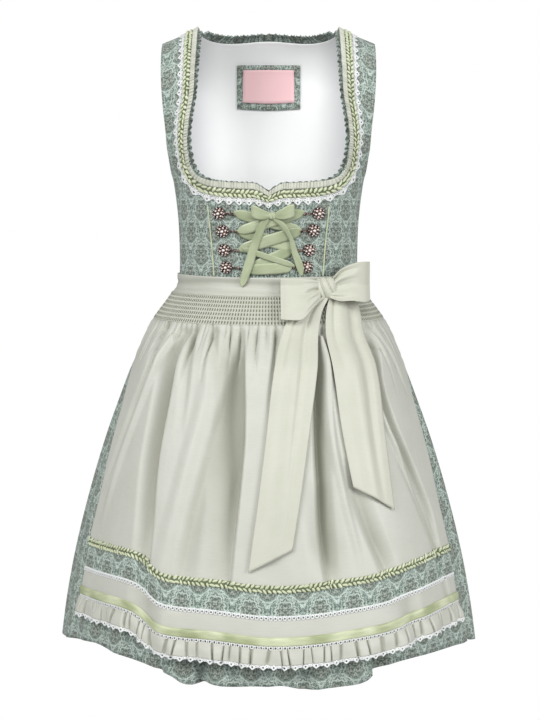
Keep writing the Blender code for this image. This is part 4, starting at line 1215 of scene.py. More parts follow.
def loop_point(sections, middle, back_share, pucker, seed):
    """point(u, v) out from the knot along the front layer, round the fold, and back behind it. The
    sections are rows of (side, top, foot, swell) from the knot to the fold."""
    side, top, foot, swell = smooth_columns(evenly(sections))
    draw = random.Random(seed)
    waves = [(1.6 + 1.1 * i, draw.random() * 3.14, 0.4 + 0.6 * draw.random()) for i in range(3)]

    def point(u, v):
        at = math.sin((1 - abs(2 * u - 1)) * math.pi / 2)
        x, z = side(at), mix(top(at), foot(at), v)
        ripple = sum((abs(math.cos(math.pi * n * v + phase)) - 0.6) * share for n, phase, share in waves)
        out = swell(at) + pucker * ripple * bell(min(at / 0.72, 1.0)) * min(at * 8, 1.0)
        out *= 1.0 if u < 0.5 else -back_share
        return Vector((x, middle(x, -z) - out, z))

    return point


def bow_loop(bow, hand, pucker, seed, *sections):
    point = loop_point(sections, bow.plane, bow.back_share, pucker, seed)
    made = cloth(f"{bow.part}_loop_{hand}_{bow.word}", bow.finish, bow.columns, bow.rows, point,
                 thick=bow.thick, side=0.0)
    stands_for(made, bow.slot, f"{bow.part}_loop_{hand}")


def knot(bow, centre, size):
    """A bow's knot: a squarish ball of cloth with folds that run slanting down over it."""
    bm = bmesh.new()
    bmesh.ops.create_uvsphere(bm, u_segments=96, v_segments=64, radius=0.5)
    write_map(bm, "cut", {vert: (vert.co.x * size[0] * 2, -vert.co.z * size[2] * 1.3) for vert in bm.verts})
    for vert in bm.verts:
        x, y, z = vert.co
        square = 1 + 0.22 * (1 - abs(abs(x) - abs(z)) * 2) * max(abs(x), abs(z)) * 2
        slant = 2.9 * (x + 0.40 * z) + 1.2 * x * z + 0.30
        fold = 1 - KNOT_FOLDS * (1 - abs(math.sin(math.pi * slant))) ** 2.2
        vert.co = centre + Vector((x * size[0] * square, y * size[1] * fold,
                                   z * size[2] * square * (0.7 + 0.3 * fold)))
    made = settle(f"{bow.part}_knot_{bow.word}", bm, bow.finish, None)
    stands_for(made, bow.slot, f"{bow.part}_knot")


lacing_bow = Bow("lacing", "ribbon", "sage", sage_satin, 48, 8, RIBBON_CLOTH, lacing_plane, 0.1)
bow_loop(lacing_bow, "left", 0.0009, 2,
         (0.0020, -0.2375, -0.2440, 0.0016), (-0.0050, -0.2345, -0.2462, 0.0036),
         (-0.0130, -0.2303, -0.2462, 0.0040), (-0.0190, -0.2278, -0.2440, 0.0030),
         (-0.0222, -0.2290, -0.2420, 0.0006))
bow_loop(lacing_bow, "right", 0.0010, 4,
         (0.0080, -0.2375, -0.2440, 0.0016), (0.0170, -0.2325, -0.2460, 0.0042),
         (0.0260, -0.2275, -0.2450, 0.0042), (0.0320, -0.2265, -0.2430, 0.0024),
         (0.0335, -0.2270, -0.2425, 0.0006))
KNOT_SIDE, KNOT_DROP = 0.0047, 0.2408
knot(lacing_bow, Vector((KNOT_SIDE, lacing_plane(KNOT_SIDE, KNOT_DROP), -KNOT_DROP)),
     (0.0105, 0.0070, 0.0098))

# %% [markdown]
# ## Flower hooks
# Each hook is a cast rosette: a middle bead, a ring of beads, scrolled wire petals and a rim of small
# beads, on a thin dished plate. Its arm reaches to the lacing ribbon and curls over it. The parts are
# made flat round the origin and then set on the bodice.

# %% Beads and wires
PLATE_RADIUS, PLATE_TOP, PLATE_THICK = 0.0080, 0.0052, 0.0014
MIDDLE_BEAD, INNER_BEAD, PETAL_BEAD = 0.0020, 0.0013, 0.0008
INNER_BEADS, INNER_RADIUS, INNER_TURN = 6, 0.0045, math.radians(15)
PETALS, PETAL_RADIUS, SCROLL_RADIUS = 10, 0.0070, 0.0017
SCROLL_WIRE, ARM_WIRE, BRACE_WIRE = 0.00045, 0.0007, 0.0005
ARM = ((0.40, 0.0, 0.0020), (0.60, 0.0008, 0.0026), (0.78, 0.0012, 0.0030), (0.92, 0.0004, 0.0036),
       (1.0, -0.0010, 0.0040), (0.96, -0.0022, 0.0034), (0.88, -0.0024, 0.0026))
BRACE_OFFSET = Vector((0, -0.0016, -0.0004))
HOOK_LIFT = 0.0002


def bead(bm, x, y, z, radius):
    made = bmesh.ops.create_icosphere(bm, subdivisions=2, radius=radius)
    bmesh.ops.translate(bm, verts=made["verts"], vec=(x, y, z))
    write_map(bm, "part", dict.fromkeys(made["verts"], (1.0, 0.0)))


def wire(bm, points, radius, sides):
    """A round wire: a small circle is extruded from point to point."""
    def pose(i):
        ahead = points[min(i + 1, len(points) - 1)] - points[max(i - 1, 0)]
        return Matrix.Translation(points[i]) @ ahead.to_track_quat("Z", "Y").to_matrix().to_4x4()

    made = bmesh.ops.create_circle(bm, segments=sides, radius=radius, cap_ends=True)
    verts = made["verts"]
    edges = list({edge for vert in verts for edge in vert.link_edges})
    bmesh.ops.transform(bm, matrix=pose(0), verts=verts)
    for i in range(1, len(points)):
        grown = bmesh.ops.extrude_edge_only(bm, edges=edges)["geom"]
        verts = [item for item in grown if isinstance(item, bmesh.types.BMVert)]
        edges = [item for item in grown if isinstance(item, bmesh.types.BMEdge)
                 and all(vert in set(verts) for vert in item.verts)]
        bmesh.ops.transform(bm, matrix=pose(i) @ pose(i - 1).inverted(), verts=verts)
    bmesh.ops.contextual_create(bm, geom=edges)


def polar(radius, turn, height):
    return Vector((radius * math.cos(turn), radius * math.sin(turn), height))


def rosette(bm, inward, reach):
    """Flower of beads and scrolls round the origin, its top towards +Z, its arm `reach` long."""
    plate = bmesh.ops.create_cone(bm, cap_ends=True, segments=32, radius1=PLATE_RADIUS, radius2=PLATE_TOP,
                                  depth=PLATE_THICK)
    bmesh.ops.translate(bm, verts=plate["verts"], vec=(0, 0, 0.0009))
    bead(bm, 0, 0, 0.0034, MIDDLE_BEAD)
    for i in range(INNER_BEADS):
        bead(bm, *polar(INNER_RADIUS, 2 * math.pi * i / INNER_BEADS + INNER_TURN, 0.0026), INNER_BEAD)
    for i in range(PETALS):
        turn = 2 * math.pi * i / PETALS
        middle = polar(PETAL_RADIUS, turn, 0.0020)
        scroll = [middle + polar(SCROLL_RADIUS, turn + math.pi * j / 4, 0.0) for j in range(8)]
        wire(bm, scroll, SCROLL_WIRE, 5)
        bead(bm, *middle, PETAL_BEAD)
    arm = [Vector((inward * share * reach, y, z)) for share, y, z in ARM]
    wire(bm, arm, ARM_WIRE, 6)
    wire(bm, [point + BRACE_OFFSET for point in arm[:4]], BRACE_WIRE, 6)


def set_on_bodice(bm, side, drop):
    """Set parts made round the origin on the bodice at this place."""
    for vert in bm.verts:
        vert.co = above(side + vert.co.x, drop - vert.co.y, HOOK_LIFT + vert.co.z)


HOOKS = ((-0.0642, 0.2380, 0.0210), (-0.0595, 0.2610, 0.0200), (-0.0580, 0.2860, 0.0200),
         (-0.0556, 0.3090, 0.0200), (0.0650, 0.2380, 0.0200), (0.0590, 0.2600, 0.0180),
         (0.0530, 0.2860, 0.0190), (0.0495, 0.3080, 0.0180))
for number, (side, drop, reach) in enumerate(HOOKS):
    bm = bmesh.new()
    rosette(bm, -math.copysign(1, side), reach)
    set_on_bodice(bm, side, drop)
    bmesh.ops.recalc_face_normals(bm, faces=bm.faces[:])
    node = f"hook_{'left' if side < 0 else 'right'}_{number % 4 + 1}"
    stands_for(settle(f"{node}_rosette", bm, antique_metal, None), "metal", node)
print("hooks:", len(HOOKS))

# %% [markdown]
# ## Folds of skirt and apron
# The skirt is two wide panels gathered into the waist seam. Its folds start fine and shallow at the
# waist and open into deep soft folds at the hem. The apron hangs over it from a smocked band. Under the
# smocking the satin leaves in small gathers, and these join into a few broad folds. Satin shows its
# folds by light and dark bands, so their places matter: each main crease has its own path, widths and
# depth. The apron's deepest creases press into the skirt, so its surface comes first.

# %% Creases placed one by one
Crease = namedtuple("Crease", "depth left right angle strength top foot")


def crease(depth, left, right, *path):
    """A trough of this depth, its width to the left and right, along rows of (drop, degrees, strength).
    A negative depth makes a ridge. Depth and widths are in millimetres."""
    return Crease(depth / 1000, left / 1000, right / 1000, *smooth_columns(path), path[0][0], path[-1][0])


@lru_cache(maxsize=4096)
def lines_at(creases, drop):
    """Angle, depth and half widths, in radians, of the creases that cross this level."""
    radius = (side_half(drop) + front_depth(drop)) / 2
    return [(math.radians(row.angle(drop)), row.depth * row.strength(drop), row.left / radius,
             row.right / radius) for row in creases if row.top <= drop <= row.foot]


def sunk(creases, angle, drop):
    """How far all creases together sink the cloth at this place."""
    total = 0.0
    for middle, depth, left, right in lines_at(creases, drop):
        away = angle - middle
        away /= left if away < 0 else right
        if abs(away) < 1:
            total += depth * bell(away)
    return total


# %% The apron's surface
SMOCK_END, BAND_TOP, BAND_END = 0.3850, 0.3220, 0.3485
BAND_HALF_ANGLE = 94.0
APRON_GAP = 0.0012
APRON_FULL, APRON_FULL_OVER, APRON_EDGE_FADE = 0.0120, 0.060, 34.0
APRON_PRESS, FLOOR_EASE = 0.0130, 0.006
GATHER_RISE, GATHER_DEPTH = 0.0016, 0.0062
# depths at which the painted shade of creases, small gathers and the ruffle's pinches is full
DARK_CREASE, DARK_GATHER, DARK_PINCH = 0.017, 0.0060, 0.007
apron_edge = smooth([(0.385, 91.0), (0.415, 81.0), (0.450, 74.0), (0.490, 69.6), (0.540, 67.3),
                     (0.593, 65.7), (0.645, 64.2), (0.700, 64.0), (0.740, 63.2), (0.770, 63.0),
                     (0.820, 63.4)])
apron_rise = smooth([(-70, 0.0345), (-55, 0.0345), (-45, 0.0340), (-40, 0.0328), (-36.5, 0.029),
                     (-32.6, 0.019), (-29, 0.0105), (-25, 0.0074), (-14, 0.006), (0, 0.000), (10, 0.001),
                     (20, 0.005), (30, 0.009), (40, 0.017), (53, 0.024), (70, 0.027)])
APRON_CREASES = (
    crease(25, 40, 4, (0.385, -11.8, 0.05), (0.408, -10.8, 0.35), (0.440, -9.7, 0.95), (0.521, -8.2, 1.0),
           (0.580, -8.6, 0.8), (0.650, -9.5, 0.5), (0.700, -10.0, 0.2), (0.735, -10.0, 0.0)),
    crease(9, 10, 34, (0.440, -14.5, 0.0), (0.500, -16.7, 0.8), (0.559, -19.0, 1.0), (0.612, -21.3, 1.0),
           (0.675, -23.1, 0.8), (0.720, -24.0, 0.3), (0.745, -24.5, 0.0)),
    crease(-3, 16, 12, (0.395, -21.5, 0.4), (0.475, -22.0, 1.0), (0.534, -24.0, 1.0), (0.603, -26.5, 0.9),
           (0.685, -29.0, 0.6), (0.740, -29.5, 0.0)),
    crease(20, 27, 6, (0.385, -40.0, 0.3), (0.420, -39.5, 0.8), (0.471, -38.0, 1.0), (0.556, -36.8, 0.9),
           (0.629, -34.8, 0.7), (0.669, -34.1, 0.45), (0.705, -33.5, 0.2), (0.745, -33.0, 0.0)),
    crease(6, 30, 26, (0.690, -34.0, 0.0), (0.740, -33.0, 1.0), (0.820, -32.0, 0.8)),
    crease(-5, 8, 10, (0.400, -47.0, 0.8), (0.440, -48.5, 1.0), (0.500, -52.0, 1.0), (0.580, -56.0, 0.7),
           (0.650, -58.0, 0.0)),
    crease(11, 11, 5, (0.385, -58.0, 0.6), (0.410, -55.0, 1.0), (0.441, -53.0, 0.8), (0.500, -57.0, 0.5),
           (0.600, -61.0, 0.0)),
    crease(8, 11, 7, (0.385, -36.5, 1.0), (0.400, -35.3, 1.0), (0.429, -32.5, 0.6), (0.470, -30.5, 0.25),
           (0.530, -29.5, 0.0)),
    crease(7, 10, 6, (0.385, -25.5, 1.0), (0.414, -22.5, 0.7), (0.455, -19.5, 0.25), (0.500, -18.0, 0.0)),
    crease(5.5, 4, 4, (0.385, -6.0, 0.9), (0.410, -5.5, 0.7), (0.440, -5.0, 0.3), (0.460, -5.0, 0.0)),
    crease(8, 8, 6, (0.385, 4.2, 1.0), (0.396, 3.9, 1.0), (0.440, 2.5, 0.5), (0.476, 1.3, 0.25),
           (0.530, 1.0, 0.0)),
    crease(22, 10, 16, (0.385, 20.0, 0.7), (0.431, 18.8, 1.0), (0.534, 16.2, 1.0), (0.600, 15.6, 0.9),
           (0.640, 15.6, 0.7), (0.690, 16.0, 0.4), (0.730, 16.5, 0.0)),
    crease(9, 26, 26, (0.580, 15.0, 0.0), (0.626, 14.6, 0.8), (0.660, 15.5, 1.0), (0.700, 16.0, 0.3),
           (0.725, 16.0, 0.0)),
    crease(-5, 6, 8, (0.397, 24.3, 0.8), (0.491, 20.3, 1.0), (0.599, 21.8, 0.8), (0.660, 24.0, 0.3),
           (0.700, 25.0, 0.0)),
    crease(7.5, 7, 8, (0.385, 26.2, 1.0), (0.430, 26.0, 1.0), (0.490, 26.0, 0.6), (0.550, 27.0, 0.2),
           (0.600, 28.0, 0.0)),
    crease(13, 15, 7, (0.385, 50.6, 0.5), (0.408, 51.4, 0.8), (0.457, 45.0, 1.0), (0.513, 46.4, 0.9),
           (0.568, 51.0, 0.8), (0.626, 55.9, 0.5), (0.655, 56.6, 0.3), (0.720, 57.0, 0.0)),
    crease(-4.5, 6, 6, (0.457, 40.0, 0.4), (0.513, 42.0, 1.0), (0.568, 46.5, 1.0), (0.626, 51.0, 0.6),
           (0.680, 53.0, 0.0)),
    crease(7, 5, 5, (0.385, 54.5, 1.0), (0.403, 57.9, 1.0), (0.439, 62.0, 0.7), (0.480, 64.0, 0.0)),
    crease(11, 16, 18, (0.550, 24.0, 0.0), (0.600, 26.8, 0.6), (0.650, 30.0, 1.0), (0.678, 32.0, 0.8),
           (0.705, 33.5, 0.4), (0.745, 35.0, 0.1), (0.820, 36.0, 0.0)),
    crease(5, 22, 22, (0.690, 38.0, 0.0), (0.740, 39.0, 1.0), (0.820, 40.0, 0.8)),
    crease(8, 16, 8, (0.540, 44.0, 0.0), (0.581, 48.5, 0.7), (0.662, 54.6, 0.8), (0.720, 57.0, 0.4),
           (0.770, 58.0, 0.0)),
)
GATHER_ROOT, GATHER_KNEE = 0.381, 0.396
SMOCK_GATHERS = tuple(
    crease(depth, half * 1.2, half, (GATHER_ROOT, top, 1.0), (GATHER_KNEE, mix(top, foot, 0.4), 0.9),
           (GATHER_KNEE + 0.5 * fall, foot, 0.4), (GATHER_KNEE + fall, foot, 0.0))
    for depth, half, top, foot, fall in (
        (7, 4.0, -57, -52.5, 0.08), (3, 1.6, -46, -45, 0.03), (7, 3.4, -36.6, -34.0, 0.07),
        (3, 1.8, -31, -30, 0.03), (7, 2.8, -27.6, -25.0, 0.065), (5, 2.2, -18.3, -16.5, 0.05),
        (4, 1.8, -13.5, -12.5, 0.04), (3.5, 1.8, -9, -9, 0.025), (4, 1.9, -4.8, -5.0, 0.035),
        (3, 1.6, -1, -1, 0.02), (6, 2.2, 3.4, 2.6, 0.05), (4, 2.0, 39, 41, 0.04), (5, 2.2, 46, 54, 0.09),
        (4, 2.0, 55, 60, 0.07), (4, 2.2, 66, 66, 0.05), (4, 2.2, -66, -64, 0.05)))
GATHERS = 46
gather = uneven(GATHERS, 0.4, 17)


def gather_count(angle):
    """Number of fine gathers between the apron's left edge and this angle."""
    return gather(clamp(math.degrees(angle) / (2 * BAND_HALF_ANGLE) + 0.5))


def fine_gathers(angle, drop):
    """Height of the fine gathers, of uneven length, that leave the smocking."""
    count = gather_count(angle)
    strong = 0.5 + 0.5 * math.sin(2.3 * count)
    pinch = (1 - abs(math.sin(math.pi * count))) ** 2
    below = drop - SMOCK_END
    height = GATHER_RISE - GATHER_DEPTH * pinch * (0.5 + 0.5 * strong)
    return bell((below - 0.004) / (0.026 + 0.040 * strong)) * height * ease(below / 0.003)


def apron_height(angle, drop):
    """Height of the apron's cloth above the form. It is negative where a crease presses into the skirt."""
    below = drop - SMOCK_END
    full = APRON_FULL * ease((below + 0.004) / APRON_FULL_OVER)
    full *= ease((apron_edge(max(drop, SMOCK_END)) - abs(math.degrees(angle))) / APRON_EDGE_FADE)
    height = full + fine_gathers(angle, drop) - sunk(APRON_CREASES, angle, drop) * ease(below / 0.008)
    height -= sunk(SMOCK_GATHERS, angle, drop) * ease((below + 0.002) / 0.004)
    floor = -APRON_PRESS * ease(below / 0.020)
    near = clamp((height - floor) / FLOOR_EASE, -1.0, 1.0)
    return max(height, floor) + FLOOR_EASE * (1 - abs(near)) ** 2 / 4


def apron_fold_shade(angle, drop):
    """Share of painted shade on the apron here, from 0 to 1: how deep it lies in its creases and small
    gathers, and a painted dark line where each fine gather leaves the smocking.
    """
    below = drop - SMOCK_END
    root = 0.45 * abs(math.cos(math.pi * gather_count(angle))) ** 6 * bell(below / 0.010)
    small = sunk(SMOCK_GATHERS, angle, drop) / DARK_GATHER
    return sunk(APRON_CREASES, angle, drop) / DARK_CREASE * ease((below + 0.002) / 0.012) + small + root


def apron(angle, run):
    """Face that the apron's cloth lies on."""
    return off(form, angle, run, APRON_GAP + apron_height(angle, drop_of(run)))


# %% Skirt
SKIRT_CREASES = (
    crease(14, 4, 22, (0.60, -17.5, 0.0), (0.70, -18.2, 0.5), (0.80, -18.6, 1.0), (0.85, -18.8, 1.0)),
    crease(12, 10, 20, (0.65, 8.0, 0.0), (0.76, 8.6, 0.6), (0.82, 9.4, 0.8), (0.85, 9.6, 0.6)),
    crease(16, 4, 24, (0.62, 27.5, 0.0), (0.72, 28.0, 0.6), (0.80, 28.6, 1.0), (0.85, 28.6, 1.0)),
    crease(7, 10, 5, (0.60, -31.0, 0.0), (0.74, -29.5, 0.7), (0.81, -28.5, 1.0), (0.85, -28.5, 1.0)),
    crease(7, 8, 8, (0.36, -84.0, 0.6), (0.50, -78.0, 1.0), (0.70, -74.0, 0.7), (0.80, -73.0, 0.2)),
    crease(8, 10, 8, (0.36, 78.0, 0.6), (0.50, 76.0, 1.0), (0.66, 73.0, 0.8), (0.78, 72.0, 0.2),
           (0.82, 72.0, 0.0)),
)
FOLDS = 24
FOLD_DEPTH_WAIST, FOLD_DEPTH_HEM, FOLD_GROWS_OVER = 0.0020, 0.0110, 0.200
WAIST_GATHER = 0.0009
PRESS_ASIDE, PRESS_CLEAR = 0.022, 0.0030


def skirt(angle, run):
    """Outer face of the skirt. Under the apron it lies clear of the apron's creases."""
    drop = drop_of(run)
    grown = ease((drop - WAIST) / FOLD_GROWS_OVER)
    depth = mix(FOLD_DEPTH_WAIST, FOLD_DEPTH_HEM, grown)
    sway = 0.30 * math.sin(3 * angle + 0.7) + 0.22 * math.sin(5 * angle - 1.1)
    phase = FOLDS * angle + 2 * math.pi * sway
    valley = 0.5 - 0.5 * math.cos(phase + 0.35 * math.sin(phase))
    strength = 0.72 + 0.28 * math.sin(4 * angle + 2.0)
    gathers = WAIST_GATHER * bell((drop - WAIST) / 0.11) * math.cos(4 * phase + 3 * math.sin(7 * angle))
    sinks = depth * strength * valley + sunk(SKIRT_CREASES, angle, drop) + WAIST_GATHER - gathers
    if drop > SMOCK_END and abs(math.degrees(angle)) < BAND_HALF_ANGLE:
        pressed = min(apron_height(angle + aside, drop) for aside in (-PRESS_ASIDE, 0.0, PRESS_ASIDE))
        clear = PRESS_CLEAR * ease((drop - SMOCK_END) / 0.01)
        sinks = max(sinks, min(clear - pressed, APRON_PRESS + PRESS_CLEAR))
    return off(form, angle, run, -sinks)


hem_drop = smooth([(-180, 0.826), (-130, 0.826), (-90, 0.8255), (-75, 0.813), (-66, 0.806), (-61, 0.803),
                   (-54, 0.800), (-48, 0.8025), (-43, 0.8055), (-33, 0.813), (-29, 0.816), (-25.5, 0.823),
                   (-22.5, 0.8315), (-19, 0.8315), (-17, 0.828), (-8, 0.8315), (2, 0.829), (9, 0.8345),
                   (16, 0.8345), (21, 0.8325), (25.5, 0.829), (27.2, 0.825), (28.4, 0.820), (34, 0.812),
                   (43, 0.808), (66, 0.812), (73, 0.8140), (80, 0.8215), (86, 0.8275), (94, 0.8295),
                   (104, 0.8305), (120, 0.8290), (145, 0.8265), (180, 0.826)])
CUT_RADIUS = 0.285
SKIRT_CLOTH = 0.0018


def skirt_half(word, centre):
    """Front or back half of the skirt. It is cut as wide as a drum of CUT_RADIUS, and gathered."""
    def spot(u, v):
        angle = centre + mix(-math.pi / 2, math.pi / 2, u)
        drop = mix(WAIST + SEAM / 2, hem_drop((math.degrees(angle) + 180) % 360 - 180), v ** 1.3)
        if u in (0.0, 1.0):
            angle += math.copysign(SEAM / 2 / side_half(drop), 0.5 - u)
        return angle, run_of(drop)

    def cut(u, v):
        angle, run = spot(u, v)
        return angle * CUT_RADIUS, run

    half = on_form(f"skirt_{word}_print", print_cotton, 320, 70, spot, surface=skirt, cut=cut,
                   thick=SKIRT_CLOTH)
    stands_for(half, "print", f"skirt_{word}")


skirt_half("front", 0.0)
skirt_half("back", math.pi)

# %% [markdown]
# ## Apron
# The band, the smocking, the panel and the strips along its foot are sewn to each other, and all lie on
# the apron's surface.

# %% Places on the apron
RISE_START, RISE_OVER = 0.430, 0.2705
BAND_RISE, BAND_JOIN = 0.0020, 0.15
SATIN_CLOTH = 0.0010


def apron_spot(start, end, half_angle=None):
    """Strip between two drops at the centre line, out to the apron's side edges."""
    def spot(u, v):
        level = mix(start, end, v)
        angle = math.radians((half_angle or apron_edge(level)) * (2 * u - 1))
        lifted = apron_rise(math.degrees(angle)) * ease((level - RISE_START) / RISE_OVER)
        return angle, run_of(level - lifted)

    return spot


def band_spot(start, end, from_angle=-BAND_HALF_ANGLE, to_angle=BAND_HALF_ANGLE):
    """Strip between two drops at the centre line, which rises a little towards the sides."""
    def spot(u, v):
        angle = math.radians(mix(from_angle, to_angle, u))
        return angle, run_of(mix(start, end, v) - BAND_RISE * math.sin(angle) ** 2)

    return spot


# %% Waistband and tie
def band_crease(u, v):
    """Soft creases along the band, where it is pulled tight."""
    angle = 9 * u + 1.5
    return (bell((v - 0.40 - 0.10 * math.sin(angle)) / 0.30)
            + 0.55 * bell((v - 0.78 + 0.05 * math.sin(angle * 1.7)) / 0.16))


def band_lift(u, v):
    return APRON_GAP + 0.0009 - 0.0017 * band_crease(u, v)


# painted shade over the whole band, deeper in its creases
def band_fold_shade(u, v):
    return 0.16 + 0.38 * band_crease(u, v)


def band_part(name, node, columns, *angles):
    spot = band_spot(BAND_TOP, BAND_END - SEAM / 2, *angles)
    made = on_form(name, ivory_satin, columns, 14, spot, band_lift, thick=SATIN_CLOTH, side=1.0, cut=None,
                   fold=band_fold_shade)
    stands_for(made, "ivory", node)


band_part("apron_waistband", "apron_band", 200)
band_part("apron_back_tie", "apron_tie_back", 160, BAND_HALF_ANGLE + BAND_JOIN,
          360 - BAND_JOIN - BAND_HALF_ANGLE)

# %% [markdown]
# ## Smocking
# Rows of elastic thread draw the satin into narrow upright ribs. Between two rows the ribs open, and a
# dark slit shows at each. The ribs are real relief, and the slits get a darker colour as well, because
# so little light reaches them.

# %% Smocked satin
RIB_PITCH, ROW_PITCH = 0.0036, 0.0054
SMOCK_RIBS, SMOCK_ROWS = 124, 7
RIB_LIFT, RIB_HEIGHT, SMOCK_CLOTH = 0.0002, 0.0010, 0.0006


def smocked():
    """Satin with a painted shade in the slits between the ribs, fainter towards the sides."""
    shade = Shade("smocked satin", Roughness=0.5)
    across, down = shade.cut()
    slit_shade = (across / RIB_PITCH + 0.5).math("FRACT").line(0.5, 0.33)
    slit_shade = slit_shade * ((down / ROW_PITCH * math.pi).math("SINE") ** 2).step(0.08, 0.5)
    slit_shade = slit_shade * (1 - abs(across).step(0.19, 0.24) * 0.4)
    mottle = shade.noise(shade.join(across, down), 60.0)
    colour = shade.mix(mottle, tint("cbcdc0"), tint("b7baa9"))
    return shade.finish(Base_Color=shade.mix(slit_shade * 0.97, colour, tint("43463a")))


def rib_lift(u, v):
    """Ribs pinched at each row of thread and open between them."""
    rib = abs(math.cos(math.pi * SMOCK_RIBS * u)) ** 0.6
    opened = math.sin(math.pi * SMOCK_ROWS * v) ** 2
    return RIB_HEIGHT * rib * (0.82 + 0.18 * opened) + RIB_LIFT


def smock_cut(u, v):
    return (u - 0.5) * SMOCK_RIBS * RIB_PITCH, v * SMOCK_ROWS * ROW_PITCH


smocking = on_form("apron_smocked_band", smocked(), SMOCK_RIBS * 6, SMOCK_ROWS * 4,
                   band_spot(BAND_END + SEAM / 2, SMOCK_END - SEAM / 2), rib_lift, surface=apron,
                   thick=SMOCK_CLOTH, side=1.0, cut=smock_cut)
stands_for(smocking, "ivory", "apron_smocking")
print("smocking:", len(smocking.data.polygons), "faces")

# %% Panel and strips
APRON_COLUMNS = 380


def apron_strip(name, finish, slot, node, start, end, rows, lift=0.0, thick=SATIN_CLOTH):
    """A strip across the whole apron, between two drops at its centre line."""
    spot = apron_spot(start + SEAM / 2, end - SEAM / 2)

    # painted shade where the ivory satin lies deep in the apron's creases
    def fold(u, v):
        angle, run = spot(u, v)
        return apron_fold_shade(angle, drop_of(run))

    made = on_form(name, finish, APRON_COLUMNS, rows, spot, lift, surface=apron, thick=thick, side=1.0,
                   cut=None, fold=fold if finish is ivory_satin else None)
    return stands_for(made, slot, node)


PANEL_TOP, BRAID_MIDDLE, PRINT_END = SMOCK_END - 0.0035, 0.7083, 0.7440
APRON_RIBBON_TOP, APRON_RIBBON_FOOT = 0.7660, 0.7770
RUFFLE_TOP, RUFFLE_START, RUFFLE_FOOT = 0.7790, 0.7802, 0.8000
for name, finish, slot, node, start, end, rows in (
        ("apron_satin_panel", ivory_satin, "ivory", "apron_panel", PANEL_TOP, BRAID_MIDDLE, 110),
        ("apron_print_strip_cloth", print_cotton, "print", "apron_print_strip", BRAID_MIDDLE, PRINT_END, 10),
        ("apron_ivory_strip", ivory_satin, "ivory", "apron_ivory_band", PRINT_END, RUFFLE_TOP, 10)):
    strip = apron_strip(name, finish, slot, node, start, end, rows)
    print(f"{name}:", len(strip.data.polygons), "faces")

# %% Ribbon, braid and laces on the apron
APRON_TRIM_LIFT, APRON_BRAID_LIFT, APRON_RIBBON_CLOTH = 0.0014, 0.0016, 0.0005
BRAID_HALF, LEAVES_WIDTH = 0.0045, 0.0112
UPPER_LACE, LOWER_LACE = 0.7405, APRON_RIBBON_FOOT - 0.0009
EDGE_PITCH, EDGE_TAPE = 0.0054, 0.0008
MEASURED_TO, MEASURED_DROP = math.radians(64), 0.72


def ribbon_lift(u, v):
    """A ribbon that is sewn at its edges only, and bubbles a little between."""
    bubble = 0.5 + 0.5 * math.sin(61 * u + 3 * math.sin(17 * u))
    pull = 0.5 + 0.5 * math.sin(149 * u + 2 * math.sin(31 * u))
    return 0.0018 + (0.0012 * bubble + 0.0007 * pull * math.sin(2 * math.pi * v)) * math.sin(math.pi * v)


apron_strip("apron_sage_ribbon", sage_ribbon, "green", "apron_ribbon", APRON_RIBBON_TOP,
            APRON_RIBBON_FOOT, 6, ribbon_lift, thick=APRON_RIBBON_CLOTH)
APRON_HALF = girth(MEASURED_TO, run_of(MEASURED_DROP), 40, apron)
print("apron half width", round(APRON_HALF, 3), "m")


def on_apron(level):
    """place(s, d, h) for a trim along the apron at this level."""
    def place(s, d, h):
        angle, run = apron_spot(level + d, level + d)(0.5 + s / (2 * APRON_HALF), 0.0)
        return off(apron, angle, run, APRON_TRIM_LIFT + h)

    return place


# the braid's dark ground, a painted shade in the gaps between its leaves
apron_strip("apron_braid_ribbon", braid_ground_shade, "green", "apron_braid", BRAID_MIDDLE - BRAID_HALF,
            BRAID_MIDDLE + BRAID_HALF, 4, arched(APRON_BRAID_LIFT), thick=BRAID_CLOTH)
apron_leaves = ruched("apron_braid_ruching", 2 * APRON_HALF - 0.003, LEAVES_WIDTH, LEAF_PITCH,
                      on_apron(BRAID_MIDDLE), 23)
EDGE_MOTIF = (Ring(0.0, 0.0030, (0.0024, 0.0028), (0.0012, 0.0014)),
              Ring(0.5, 0.0014, (0.0012, 0.0014), (0.0005, 0.0005)))
for word, level in (("upper", UPPER_LACE), ("lower", LOWER_LACE)):
    lace(f"apron_{word}_lace_edging", f"apron_lace_{word}", 2 * APRON_HALF - 0.002, EDGE_PITCH,
         on_apron(level), EDGE_MOTIF, EDGE_TAPE)

# %% [markdown]
# ## Ruffle
# The ruffle is a strip of satin gathered to about two thirds of its length. Its puffs are broad, the
# pinches between them narrow and deep, and no two are alike. A picot lace follows its waved edge.

# %% Ruffle and its picot lace
PUFFS = 44
FOOT_HALF = apron_edge(RUFFLE_FOOT)
RUFFLE_RADIUS = 0.275
PUFF_PITCH = math.radians(2 * FOOT_HALF / PUFFS) * RUFFLE_RADIUS
LONGEST_PINCH, RUFFLE_CLOTH = 1.35, 0.0007
PICOT_PITCH, PICOT_TAPE, PICOT_TUCK = 0.0120, 0.0014, 0.0008
puff = uneven(PUFFS, 0.75, 29)
pinch_draw = random.Random(31)
Pinch = namedtuple("Pinch", "depth half reach lean")
PINCHES = [Pinch(0.0050 + 0.0045 * pinch_draw.random(), 0.0017 + 0.0016 * pinch_draw.random(),
                 0.70 + 0.75 * pinch_draw.random(), 0.5 * (pinch_draw.random() - 0.5))
           for _ in range(PUFFS + 2)]


